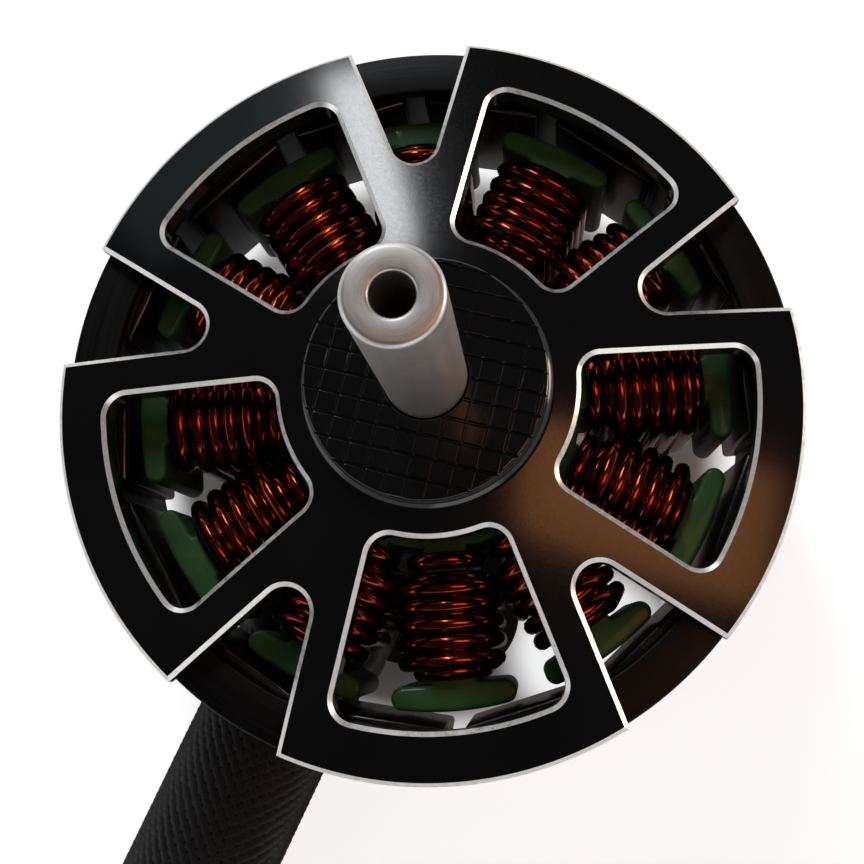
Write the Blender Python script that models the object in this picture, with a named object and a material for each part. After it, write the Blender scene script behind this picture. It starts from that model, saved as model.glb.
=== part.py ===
"""Brushless outrunner motor with a five-spoke bell.

The bell, its flux ring, fourteen magnets and the hollow shaft turn about +Z in two ball bearings.
The base carries the bearings and a twelve-tooth stator with one coil on each tooth.
The origin lies on the shaft's axis in the base's mounting face, and +Y points through a rim notch.
"""

import math

import bmesh
import bpy
from mathutils import Vector

MM = 0.001

# Clearances
PRESS_GAP = 0.05 * MM
COAT_GAP = 0.05 * MM
CORD_GAP = 0.3 * MM
CUT_MARGIN = 1.0 * MM

# Shaft and its retainer
SHAFT_DIAMETER = 3.0 * MM
SHAFT_BORE = 1.3 * MM
SHAFT_FOOT_Z = 0.7 * MM
SHAFT_RISE = 15.0 * MM
SHAFT_CHAMFER = 0.18 * MM
GROOVE_DEPTH = 0.3 * MM
CLIP_Z = 1.1 * MM
CLIP_THICKNESS = 0.35 * MM
CLIP_WIDTH = 1.1 * MM
CLIP_MOUTH_ANGLE = math.radians(70.0)
WASHER_THICKNESS = 0.15 * MM
SHIM_THICKNESS = 0.2 * MM

# Ball bearings
BEARING_DIAMETER = 7.0 * MM
BEARING_WIDTH = 3.0 * MM
RACE_WALL = 0.65 * MM
RACE_GROOVE = 0.2 * MM
BALL_DIAMETER = 0.85 * MM
BALL_COUNT = 7
CAGE_WALL = 0.25 * MM
SHIELD_THICKNESS = 0.15 * MM
SHIELD_RECESS = 0.1 * MM
RUNNING_GAP = 0.1 * MM

# Bell
BELL_DIAMETER = 28.0 * MM
RIM_Z = 15.0 * MM
RIM_THICKNESS = 0.8 * MM
RIM_CHAMFER = 0.15 * MM
DOME_RISE = 1.54 * MM
DOME_ARC_RADIUS = 83.0 * MM
SPOKE_THICKNESS = 1.3 * MM
RIM_SEAT_WIDTH = 2.7 * MM
BOSS_DIAMETER = 8.8 * MM
BOSS_HEIGHT = 1.16 * MM
BOSS_CHAMFER = 0.25 * MM
HUB_DIAMETER = 5.6 * MM

# Bell windows, rim notches and the spokes that run between them
SPOKE_PAIRS = 5
RIM_WIDTH = 1.7 * MM
BOSS_MARGIN = 1.03 * MM
WINDOW_SIDE_OFFSET = 0.75 * MM
WINDOW_FILLET = 0.95 * MM
SPOKE_FACE_WIDTH = 1.14 * MM
NOTCH_FILLET = 1.06 * MM
EDGE_CHAMFER = 0.16 * MM

# Flux ring and magnets
RING_INSET = 0.1 * MM
RING_HEIGHT = 9.75 * MM
RING_WALL = 1.05 * MM
RING_LIP_WIDTH = 0.6 * MM
RING_LIP_HEIGHT = 0.75 * MM
RING_CHAMFER = 0.2 * MM
MAGNET_COUNT = 14
MAGNET_THICKNESS = 0.9 * MM
MAGNET_LENGTH = 7.5 * MM
MAGNET_SIDE_GAP = 0.73 * MM
MAGNET_TOP_GAP = 0.15 * MM

# Stator
TOOTH_COUNT = 12
AIR_GAP = 0.25 * MM
STACK_HEIGHT = 6.65 * MM
STACK_DROP = 0.475 * MM
YOKE_WALL = 1.35 * MM
TOOTH_WIDTH = 1.7 * MM
SLOT_OPENING = 1.33 * MM
TIP_DEPTH = 1.0 * MM
TIP_EDGE_DEPTH = 0.85 * MM

# Coils
COIL_TURNS = 7
COIL_WALL = 0.7 * MM
COIL_INNER_BUILD = 0.5 * MM
COIL_OUTER_BUILD = 1.1 * MM
COIL_CORNER = 0.55 * MM
COIL_END_GAP = 0.15 * MM
TURN_RELIEF = 0.14 * MM

# Base
TUBE_WALL = 0.8 * MM
TUBE_TOP_DROP = 0.1 * MM
BEARING_LEDGE = 0.5 * MM
STATOR_SEAT_WIDTH = 0.9 * MM
ARM_COUNT = 4
ARM_WIDTH = 4.0 * MM
ARM_THICKNESS = 2.6 * MM
ARM_RIB_WIDTH = 2.0 * MM
ARM_RIB_HEIGHT = 1.0 * MM
ARM_RIB_END_HEIGHT = 0.1 * MM
ARM_RIB_END_GAP = 0.2 * MM
SCREW_CIRCLE_RADIUS = 8.0 * MM
SCREW_BOSS_DIAMETER = 5.1 * MM
SCREW_HOLE_DIAMETER = 3.2 * MM
BRIDGE_THICKNESS = 0.9 * MM
BRIDGE_INNER_RADIUS = 8.1 * MM
BRIDGE_OUTER_RADIUS = 10.4 * MM

# Lead bundle
SLEEVE_WIDTH = 6.4 * MM
SLEEVE_THICKNESS = 2.7 * MM
COLLAR_WALL = 0.2 * MM
COLLAR_GAP = 0.08 * MM
COLLAR_LENGTH = 2.6 * MM
LEAD_HEADING = math.radians(240.0)
LEAD_SIDE_OFFSET = 1.55 * MM
COLLAR_START = 8.8 * MM
LEAD_COUNT = 3
LEAD_DIAMETER = 1.9 * MM
LEAD_PITCH = 2.0 * MM
LEAD_END_DIAMETER = 1.2 * MM
LEAD_END_LENGTH = 3.0 * MM
TAIL_DIAMETER = 0.65 * MM

# Facets
BELL_SEGMENTS = 50
HUB_SEGMENTS = 28
SHAFT_SEGMENTS = 16

# Heights and radii that follow from the sizes above
SHAFT_RADIUS = SHAFT_DIAMETER / 2
SHAFT_TIP_Z = RIM_Z + SHAFT_RISE
FIT_RADIUS = SHAFT_RADIUS + PRESS_GAP
BELL_RADIUS = BELL_DIAMETER / 2
BOSS_RADIUS = BOSS_DIAMETER / 2
BOSS_TOP_Z = RIM_Z + DOME_RISE + BOSS_HEIGHT
WINDOW_OUTER_RADIUS = BELL_RADIUS - RIM_WIDTH
WINDOW_INNER_RADIUS = BOSS_RADIUS + BOSS_MARGIN
RIM_SEAT_Z = RIM_Z - RIM_THICKNESS
RING_RADIUS = BELL_RADIUS - RING_INSET
RING_TOP_Z = RIM_SEAT_Z - PRESS_GAP
RING_FOOT_Z = RING_TOP_Z - RING_HEIGHT
RING_BORE_RADIUS = RING_RADIUS - RING_WALL
MAGNET_OUTER_RADIUS = RING_BORE_RADIUS - PRESS_GAP
MAGNET_FACE_RADIUS = MAGNET_OUTER_RADIUS - MAGNET_THICKNESS
MAGNET_WIDTH = 2 * MAGNET_FACE_RADIUS * math.tan(math.pi / MAGNET_COUNT) - MAGNET_SIDE_GAP
MAGNET_TOP_Z = RING_TOP_Z - RING_LIP_HEIGHT - MAGNET_TOP_GAP
MAGNET_FOOT_Z = MAGNET_TOP_Z - MAGNET_LENGTH
STACK_RADIUS = MAGNET_FACE_RADIUS - AIR_GAP
TIP_WIDTH = 2 * STACK_RADIUS * math.sin(math.pi / TOOTH_COUNT) - SLOT_OPENING
STACK_MIDDLE_Z = (MAGNET_TOP_Z + MAGNET_FOOT_Z) / 2 - STACK_DROP
STACK_TOP_Z = STACK_MIDDLE_Z + STACK_HEIGHT / 2
STACK_FOOT_Z = STACK_MIDDLE_Z - STACK_HEIGHT / 2
BEARING_RADIUS = BEARING_DIAMETER / 2
BEARING_SEAT_RADIUS = BEARING_RADIUS + PRESS_GAP
TUBE_RADIUS = BEARING_SEAT_RADIUS + TUBE_WALL
STACK_BORE_RADIUS = TUBE_RADIUS + PRESS_GAP
YOKE_RADIUS = STACK_BORE_RADIUS + YOKE_WALL
WASHER_Z = CLIP_Z + CLIP_THICKNESS + PRESS_GAP
LOWER_BEARING_Z = WASHER_Z + WASHER_THICKNESS + PRESS_GAP
TUBE_TOP_Z = STACK_TOP_Z - TUBE_TOP_DROP
UPPER_BEARING_Z = TUBE_TOP_Z - PRESS_GAP - BEARING_WIDTH
SHIM_Z = UPPER_BEARING_Z + BEARING_WIDTH + PRESS_GAP
HUB_FOOT_Z = SHIM_Z + SHIM_THICKNESS + PRESS_GAP
STATOR_SEAT_Z = STACK_FOOT_Z - PRESS_GAP
STATOR_SEAT_RADIUS = TUBE_RADIUS + STATOR_SEAT_WIDTH
SPOKE_HALF_ANGLE = math.pi / (2 * SPOKE_PAIRS)
COLLAR_HALF_HEIGHT = SLEEVE_THICKNESS / 2 + COLLAR_GAP + COLLAR_WALL
COLLAR_HALF_WIDTH = SLEEVE_WIDTH / 2 + COLLAR_GAP + COLLAR_WALL
SLEEVE_EXIT_Z = BRIDGE_THICKNESS + PRESS_GAP + COLLAR_HALF_HEIGHT
SLEEVE_REST_Z = SLEEVE_THICKNESS / 2 + PRESS_GAP


def clear_scene():
    """Remove every object that the open file holds."""
    for item in list(bpy.data.objects):
        bpy.data.objects.remove(item, do_unlink=True)


def make_material(name, colour, roughness, metallic):
    """Return a Principled material."""
    material = bpy.data.materials.new(name)
    material.use_nodes = True
    shader = material.node_tree.nodes["Principled BSDF"]
    shader.inputs["Base Color"].default_value = (*colour, 1.0)
    shader.inputs["Roughness"].default_value = roughness
    shader.inputs["Metallic"].default_value = metallic
    material.diffuse_color = (*colour, 1.0)
    return material


def make_group(name):
    """Return an empty on the shaft's axis that carries the pieces of one body."""
    group = bpy.data.objects.new(name, None)
    group.empty_display_size = BELL_RADIUS
    bpy.context.scene.collection.objects.link(group)
    return group


def add_piece(name, mesh, material, parent, angle=0.0):
    """Place a mesh as a named piece, turned about the shaft's axis."""
    piece = bpy.data.objects.new(name, mesh)
    bpy.context.scene.collection.objects.link(piece)
    if not mesh.materials:
        mesh.materials.append(material)
    piece.parent = parent
    piece.rotation_euler = (0.0, 0.0, angle)
    return piece


def finish_mesh(name, bm, sharp_angle=30.0):
    """Close a bmesh into a mesh with outward faces and smooth round surfaces."""
    bmesh.ops.recalc_face_normals(bm, faces=bm.faces[:])
    mesh = bpy.data.meshes.new(name)
    bm.to_mesh(mesh)
    bm.free()
    mesh.shade_smooth()
    mesh.set_sharp_from_angle(angle=math.radians(sharp_angle))
    return mesh


def turned(name, profile, segments):
    """Spin a closed profile of (radius, height) points about the shaft's axis."""
    bm = bmesh.new()
    verts = [bm.verts.new((radius, 0.0, height)) for radius, height in profile]
    edges = [bm.edges.new((a, b)) for a, b in zip(verts, verts[1:] + verts[:1])]
    bmesh.ops.spin(bm, geom=verts + edges, cent=(0, 0, 0), axis=(0, 0, 1), angle=2 * math.pi,
                   steps=segments, use_merge=True)
    bmesh.ops.remove_doubles(bm, verts=bm.verts[:], dist=0.000001)
    return finish_mesh(name, bm)


def extruded(name, outline, foot, top):
    """Raise an outline of (x, y) points from one height to another."""
    bm = bmesh.new()
    face = bm.faces.new([bm.verts.new((x, y, foot)) for x, y in outline])
    raised = bmesh.ops.extrude_face_region(bm, geom=[face])
    moved = [item for item in raised["geom"] if isinstance(item, bmesh.types.BMVert)]
    bmesh.ops.translate(bm, verts=moved, vec=(0.0, 0.0, top - foot))
    return finish_mesh(name, bm)


def lofted(name, rings):
    """Skin a list of rings with equal point counts and cap both ends."""
    bm = bmesh.new()
    rows = [[bm.verts.new(point) for point in ring] for ring in rings]
    for lower, upper in zip(rows, rows[1:]):
        for index in range(len(lower)):
            following = (index + 1) % len(lower)
            bm.faces.new((lower[index], lower[following], upper[following], upper[index]))
    bm.faces.new(list(reversed(rows[0])))
    bm.faces.new(rows[-1])
    return finish_mesh(name, bm)


def combine(name, body, tools, operation):
    """Return the mesh of a body after each tool mesh is added to it or cut from it."""
    scene = bpy.context.scene
    target = bpy.data.objects.new(name, body)
    scene.collection.objects.link(target)
    cutters = []
    for tool in tools:
        cutter = bpy.data.objects.new(name + "_tool", tool)
        cutter.hide_render = True
        cutter.display_type = "WIRE"
        scene.collection.objects.link(cutter)
        cutters.append(cutter)
        step = target.modifiers.new("step", "BOOLEAN")
        step.operation = operation
        step.solver = "EXACT"
        step.object = cutter
    bpy.context.view_layer.update()
    graph = bpy.context.evaluated_depsgraph_get()
    bm = bmesh.new()
    bm.from_object(target, graph)
    for item in cutters + [target]:
        bpy.data.objects.remove(item, do_unlink=True)
    bmesh.ops.remove_doubles(bm, verts=bm.verts[:], dist=0.000002)
    bmesh.ops.dissolve_degenerate(bm, edges=bm.edges[:], dist=0.000002)
    return finish_mesh(name, bm)


def arc(radius, start, end, steps, centre=(0.0, 0.0)):
    """Return points on an arc, both ends included."""
    angles = [start + (end - start) * step / steps for step in range(steps + 1)]
    return [(centre[0] + radius * math.cos(a), centre[1] + radius * math.sin(a)) for a in angles]


def turn_point(point, angle):
    """Turn an (x, y) point about the shaft's axis."""
    x, y = point
    return (x * math.cos(angle) - y * math.sin(angle), x * math.sin(angle) + y * math.cos(angle))


def circle(radius, segments, centre=(0.0, 0.0)):
    """Return a closed circle of points."""
    return arc(radius, 0.0, 2 * math.pi * (1 - 1 / segments), segments - 1, centre)


def dome_height(radius):
    """Height of the bell's domed face: an arc from the rim's top up to the boss's foot."""
    span = BELL_RADIUS - BOSS_RADIUS
    chord = math.hypot(span, DOME_RISE)
    sink = math.sqrt(DOME_ARC_RADIUS ** 2 - (chord / 2) ** 2)
    centre_radius = (BELL_RADIUS + BOSS_RADIUS) / 2 - sink * DOME_RISE / chord
    centre_z = RIM_Z + DOME_RISE / 2 - sink * span / chord
    return centre_z + math.sqrt(DOME_ARC_RADIUS ** 2 - (radius - centre_radius) ** 2)


def bell_profile():
    """Closed profile of the bell before its windows and notches are cut."""
    face_steps = 2
    face_end = BELL_RADIUS - RIM_CHAMFER
    fillet = BOSS_CHAMFER
    face_start = BOSS_RADIUS + fillet
    seat_start = BELL_RADIUS - RIM_SEAT_WIDTH
    hub_radius = HUB_DIAMETER / 2
    profile = [
        (FIT_RADIUS, HUB_FOOT_Z),
        (hub_radius, HUB_FOOT_Z),
        (hub_radius, dome_height(BOSS_RADIUS) - SPOKE_THICKNESS),
        (seat_start, RIM_SEAT_Z),
        (BELL_RADIUS, RIM_SEAT_Z),
        (BELL_RADIUS, RIM_Z - RIM_CHAMFER),
    ]
    for step in range(face_steps + 1):
        radius = face_end + (face_start - face_end) * step / face_steps
        profile.append((radius, dome_height(radius)))
    profile += [
        (BOSS_RADIUS, dome_height(BOSS_RADIUS) + fillet),
        (BOSS_RADIUS, BOSS_TOP_Z - BOSS_CHAMFER),
        (BOSS_RADIUS - BOSS_CHAMFER, BOSS_TOP_Z),
        (FIT_RADIUS, BOSS_TOP_Z),
    ]
    return profile


def window_outline(inset):
    """Outline of one window about +X, moved inward by the inset all round."""
    side = WINDOW_SIDE_OFFSET - WINDOW_FILLET
    fillet = WINDOW_FILLET - inset
    outer_reach = WINDOW_OUTER_RADIUS - WINDOW_FILLET
    inner_reach = WINDOW_INNER_RADIUS + WINDOW_FILLET
    outer_centre = turn_point((math.sqrt(outer_reach ** 2 - side ** 2), side), SPOKE_HALF_ANGLE)
    inner_centre = turn_point((math.sqrt(inner_reach ** 2 - side ** 2), side), SPOKE_HALF_ANGLE)
    outer_angle = math.atan2(outer_centre[1], outer_centre[0])
    inner_angle = math.atan2(inner_centre[1], inner_centre[0])
    side_normal = SPOKE_HALF_ANGLE + math.pi / 2
    half = arc(WINDOW_OUTER_RADIUS - inset, 0.0, outer_angle, 4)
    half += arc(fillet, outer_angle, side_normal, 4, outer_centre)[1:]
    half += arc(fillet, side_normal, inner_angle + math.pi, 4, inner_centre)
    half += arc(WINDOW_INNER_RADIUS + inset, inner_angle, 0.0, 3)[1:]
    mirrored = [(x, -y) for x, y in reversed(half)]
    return half + mirrored[1:-1]


def notch_outline(inset):
    """Outline of one rim notch about +X, moved inward by the inset all round."""
    side = WINDOW_SIDE_OFFSET + SPOKE_FACE_WIDTH
    fillet = NOTCH_FILLET - inset
    centre = ((NOTCH_FILLET + side) / math.sin(SPOKE_HALF_ANGLE), 0.0)
    side_normal = SPOKE_HALF_ANGLE + math.pi / 2
    half = arc(fillet, math.pi, side_normal, 4, centre)
    start = half[-1]
    reach = BELL_RADIUS + CUT_MARGIN - start[0]
    for share in (0.5, 1.0):
        half.append((start[0] + reach * share, start[1] + reach * share * math.tan(SPOKE_HALF_ANGLE)))
    return half + [(x, -y) for x, y in reversed(half[1:])]


def chamfered_cutter(name, outline, angle):
    """Cutter for an opening whose top edge is chamfered along the domed face."""
    over = EDGE_CHAMFER / 4
    straight = [turn_point(point, angle) for point in outline(EDGE_CHAMFER)]
    flared = [turn_point(point, angle) for point in outline(-over)]
    rings = [
        [(x, y, RIM_SEAT_Z - CUT_MARGIN) for x, y in straight],
        [(x, y, dome_height(math.hypot(x, y)) - EDGE_CHAMFER) for x, y in straight],
        [(x, y, dome_height(math.hypot(x, y)) + over) for x, y in flared],
        [(x, y, BOSS_TOP_Z + CUT_MARGIN) for x, y in flared],
    ]
    return lofted(name, rings)


def make_bell(material, parent):
    """Bell with its boss, five windows, five rim notches and the hub that seats on the bearing."""
    body = turned("bell_body", bell_profile(), BELL_SEGMENTS)
    cutters = []
    for index in range(SPOKE_PAIRS):
        notch_angle = math.pi / 2 + 4 * SPOKE_HALF_ANGLE * index
        window_angle = notch_angle + 2 * SPOKE_HALF_ANGLE
        cutters.append(chamfered_cutter("notch", notch_outline, notch_angle))
        cutters.append(chamfered_cutter("window", window_outline, window_angle))
    mesh = combine("bell", body, cutters, "DIFFERENCE")
    return add_piece("bell", mesh, material, parent)


def make_flux_ring(material, parent):
    """Steel ring under the bell's rim, with a lip above the magnets."""
    lip_radius = RING_BORE_RADIUS - RING_LIP_WIDTH
    lip_foot = RING_TOP_Z - RING_LIP_HEIGHT
    profile = [
        (RING_BORE_RADIUS, RING_FOOT_Z),
        (RING_RADIUS - RING_CHAMFER, RING_FOOT_Z),
        (RING_RADIUS, RING_FOOT_Z + RING_CHAMFER),
        (RING_RADIUS, RING_TOP_Z),
        (lip_radius, RING_TOP_Z),
        (lip_radius, lip_foot),
        (RING_BORE_RADIUS, lip_foot),
    ]
    return add_piece("flux_ring", turned("flux_ring", profile, BELL_SEGMENTS), material, parent)


def make_magnets(material, parent):
    """Magnets with a round back against the ring and a flat face towards the teeth."""
    back_angle = math.asin(MAGNET_WIDTH / 2 / MAGNET_OUTER_RADIUS)
    outline = arc(MAGNET_OUTER_RADIUS, -back_angle, back_angle, 3)
    outline += [(MAGNET_FACE_RADIUS, MAGNET_WIDTH / 2), (MAGNET_FACE_RADIUS, -MAGNET_WIDTH / 2)]
    mesh = extruded("magnet", outline, MAGNET_FOOT_Z, MAGNET_TOP_Z)
    for index in range(MAGNET_COUNT):
        angle = 2 * math.pi * index / MAGNET_COUNT
        add_piece(f"magnet_{index + 1:02d}", mesh, material, parent, angle)


def make_shaft(material, parent):
    """Hollow shaft with chamfered ends and a groove for the clip."""
    bore = SHAFT_BORE / 2
    groove = SHAFT_RADIUS - GROOVE_DEPTH
    groove_foot = CLIP_Z - PRESS_GAP
    groove_top = CLIP_Z + CLIP_THICKNESS + PRESS_GAP
    inner_chamfer = SHAFT_CHAMFER / 2
    profile = [
        (bore, SHAFT_FOOT_Z),
        (groove, SHAFT_FOOT_Z),
        (SHAFT_RADIUS, SHAFT_FOOT_Z + SHAFT_CHAMFER),
        (SHAFT_RADIUS, groove_foot),
        (groove, groove_foot),
        (groove, groove_top),
        (SHAFT_RADIUS, groove_top),
        (SHAFT_RADIUS, SHAFT_TIP_Z - SHAFT_CHAMFER),
        (SHAFT_RADIUS - SHAFT_CHAMFER, SHAFT_TIP_Z),
        (bore + inner_chamfer, SHAFT_TIP_Z),
        (bore, SHAFT_TIP_Z - inner_chamfer),
    ]
    return add_piece("shaft", turned("shaft", profile, SHAFT_SEGMENTS), material, parent)


def make_washer(name, foot, thickness, material, parent):
    """Thin washer on the shaft that presses on a bearing's inner race."""
    outer = FIT_RADIUS + RACE_WALL - RUNNING_GAP
    profile = [(FIT_RADIUS, foot), (outer, foot), (outer, foot + thickness), (FIT_RADIUS, foot + thickness)]
    return add_piece(name, turned(name, profile, SHAFT_SEGMENTS), material, parent)


def make_clip(material, parent):
    """Open spring clip in the shaft's groove."""
    inner = SHAFT_RADIUS - GROOVE_DEPTH + PRESS_GAP
    start = CLIP_MOUTH_ANGLE / 2
    end = 2 * math.pi - start
    outline = arc(inner + CLIP_WIDTH, start, end, 14) + arc(inner, end, start, 14)
    mesh = extruded("shaft_clip", outline, CLIP_Z, CLIP_Z + CLIP_THICKNESS)
    return add_piece("shaft_clip", mesh, material, parent)


def race_profile(inner, outer, foot, groove_inside):
    """Profile of a race with a ball groove on one of its walls."""
    middle = foot + BEARING_WIDTH / 2
    top = foot + BEARING_WIDTH
    groove = BALL_DIAMETER / 2
    profile = [(inner, foot), (outer, foot), (outer, top), (inner, top)]
    if groove_inside:
        cut = inner + RACE_GROOVE
        profile += [(inner, middle + groove), (cut, middle), (inner, middle - groove)]
        return profile
    cut = outer - RACE_GROOVE
    profile[2:2] = [(outer, middle - groove), (cut, middle), (outer, middle + groove)]
    return profile


def ball_cage_mesh(name, foot):
    """Ring of balls held at an even pitch by their cage, skinned round the shaft's axis."""
    middle = foot + BEARING_WIDTH / 2
    pitch = (FIT_RADIUS + BEARING_RADIUS) / 2
    ball_radius = BALL_DIAMETER / 2
    shoulder = ball_radius / 2
    cage_radius = CAGE_WALL / 2
    shoulder_radius = math.sqrt(ball_radius ** 2 - shoulder ** 2)
    ball_angle = 2 * math.pi / BALL_COUNT
    stations = []
    for index in range(BALL_COUNT):
        centre = ball_angle * index
        stations += [(centre - shoulder / pitch, shoulder_radius), (centre, ball_radius),
                     (centre + shoulder / pitch, shoulder_radius), (centre + ball_angle / 2, cage_radius)]
    bm = bmesh.new()
    rows = []
    for angle, size in stations:
        section = [(pitch + out, middle + up) for out, up in circle(size, 6)]
        rows.append([bm.verts.new((*turn_point((reach, 0.0), angle), height)) for reach, height in section])
    for row, following in zip(rows, rows[1:] + rows[:1]):
        for side in range(len(row)):
            beyond = (side + 1) % len(row)
            bm.faces.new((row[side], row[beyond], following[beyond], following[side]))
    return finish_mesh(name, bm, 180.0)


def make_bearing(prefix, foot, steel, shield_steel, rotor, stator):
    """Ball bearing whose inner race turns with the shaft."""
    inner_wall = FIT_RADIUS + RACE_WALL
    outer_wall = BEARING_RADIUS - RACE_WALL
    inner_mesh = turned(prefix, race_profile(FIT_RADIUS, inner_wall, foot, False), SHAFT_SEGMENTS)
    outer_mesh = turned(prefix, race_profile(outer_wall, BEARING_RADIUS, foot, True), SHAFT_SEGMENTS)
    add_piece(prefix + "_inner_race", inner_mesh, steel, rotor)
    add_piece(prefix + "_outer_race", outer_mesh, steel, stator)
    add_piece(prefix + "_ball_cage", ball_cage_mesh(prefix, foot), steel, stator)
    shield_inner = inner_wall + RUNNING_GAP
    shield_outer = outer_wall - PRESS_GAP
    lower = foot + SHIELD_RECESS
    upper = foot + BEARING_WIDTH - SHIELD_RECESS - SHIELD_THICKNESS
    for suffix, height in (("_lower_shield", lower), ("_upper_shield", upper)):
        top = height + SHIELD_THICKNESS
        profile = [(shield_inner, height), (shield_outer, height), (shield_outer, top),
                   (shield_inner, top)]
        add_piece(prefix + suffix, turned(prefix, profile, SHAFT_SEGMENTS), shield_steel, stator)


def stack_outline():
    """Outline of the twelve-tooth lamination stack."""
    half_tooth = TOOTH_WIDTH / 2
    half_tip = TIP_WIDTH / 2
    tip_foot = STACK_RADIUS - TIP_DEPTH
    edge = TIP_EDGE_DEPTH / 2
    tip_angle = math.asin((half_tip - edge) / STACK_RADIUS)
    edge_middle = STACK_RADIUS * math.cos(tip_angle) - edge
    half = [
        (math.sqrt(YOKE_RADIUS ** 2 - half_tooth ** 2), half_tooth),
        (tip_foot, half_tooth),
        (edge_middle - edge, half_tip - edge),
        (edge_middle, half_tip),
    ]
    half += arc(STACK_RADIUS, tip_angle, 0.0, 2)
    tooth = [(x, -y) for x, y in half[:-1]] + list(reversed(half))
    outline = []
    for index in range(TOOTH_COUNT):
        angle = 2 * math.pi * index / TOOTH_COUNT
        outline += [turn_point(point, angle) for point in tooth]
        outline.append(turn_point((YOKE_RADIUS, 0.0), angle + math.pi / TOOTH_COUNT))
    return outline


def make_stack(material, parent):
    """Coated lamination stack, bored for the bearing tube."""
    body = extruded("stack_body", stack_outline(), STACK_FOOT_Z, STACK_TOP_Z)
    bore = extruded("stack_bore", circle(STACK_BORE_RADIUS, HUB_SEGMENTS),
                    STACK_FOOT_Z - CUT_MARGIN, STACK_TOP_Z + CUT_MARGIN)
    mesh = combine("stator_stack", body, [bore], "DIFFERENCE")
    return add_piece("stator_stack", mesh, material, parent)


def coil_ring(reach, half_width, half_height, corner):
    """One eight-point ring round a tooth, at one distance from the shaft."""
    points = [(half_width, half_height - corner), (half_width - corner, half_height)]
    points += [(-y, z) for y, z in reversed(points)]
    points += [(y, -z) for y, z in reversed(points)]
    return [(reach, y, STACK_MIDDLE_Z + z) for y, z in points]


def make_coils(material, parent):
    """Coils whose turns show as ridges, widening outward as the slot does."""
    start = YOKE_RADIUS + COIL_END_GAP
    end = STACK_RADIUS - TIP_DEPTH - COIL_END_GAP
    rings = []
    stations = 2 * (COIL_TURNS - 1)
    for station in range(stations + 1):
        share = station / stations
        relief = TURN_RELIEF if station % 2 else 0.0
        build = COIL_INNER_BUILD + (COIL_OUTER_BUILD - COIL_INNER_BUILD) * share
        half_width = TOOTH_WIDTH / 2 + build - relief
        half_height = STACK_HEIGHT / 2 + COIL_WALL - relief
        rings.append(coil_ring(start + (end - start) * share, half_width, half_height, COIL_CORNER))
    body = lofted("coil_body", rings)
    half_slot = TOOTH_WIDTH / 2 + COAT_GAP
    slot_height = STACK_HEIGHT / 2 + COAT_GAP
    slot_start = start - CUT_MARGIN
    slot_end = end + CUT_MARGIN
    slot_outline = [(slot_start, -half_slot), (slot_end, -half_slot), (slot_end, half_slot),
                    (slot_start, half_slot)]
    slot = extruded("coil_slot", slot_outline, STACK_MIDDLE_Z - slot_height, STACK_MIDDLE_Z + slot_height)
    mesh = combine("coil", body, [slot], "DIFFERENCE")
    for index in range(TOOTH_COUNT):
        angle = 2 * math.pi * index / TOOTH_COUNT
        add_piece(f"coil_{index + 1:02d}", mesh, material, parent, angle)


def arm_outline():
    """Plan of one base arm along +X, ending in a round screw boss."""
    half_width = ARM_WIDTH / 2
    boss_radius = SCREW_BOSS_DIAMETER / 2
    neck_angle = math.pi - math.asin(half_width / boss_radius)
    start = math.sqrt(TUBE_RADIUS ** 2 - half_width ** 2 / 4)
    boss = arc(boss_radius, -neck_angle, neck_angle, 8, (SCREW_CIRCLE_RADIUS, 0.0))
    return [(start, -half_width)] + boss + [(start, half_width)]


def rib_mesh(angle):
    """Sloping rib that ties one arm to the hub."""
    half_width = ARM_RIB_WIDTH / 2
    start = (TUBE_RADIUS + STATOR_SEAT_RADIUS) / 2
    end = SCREW_CIRCLE_RADIUS - SCREW_HOLE_DIAMETER / 2 - ARM_RIB_END_GAP
    foot = ARM_THICKNESS / 2
    side = [(start, foot), (end, foot), (end, ARM_THICKNESS + ARM_RIB_END_HEIGHT),
            (start, ARM_THICKNESS + ARM_RIB_HEIGHT)]
    rings = []
    for offset in (-half_width, half_width):
        flat = [(turn_point((reach, offset), angle), height) for reach, height in side]
        rings.append([(x, y, height) for (x, y), height in flat])
    return lofted("rib", rings)


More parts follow.
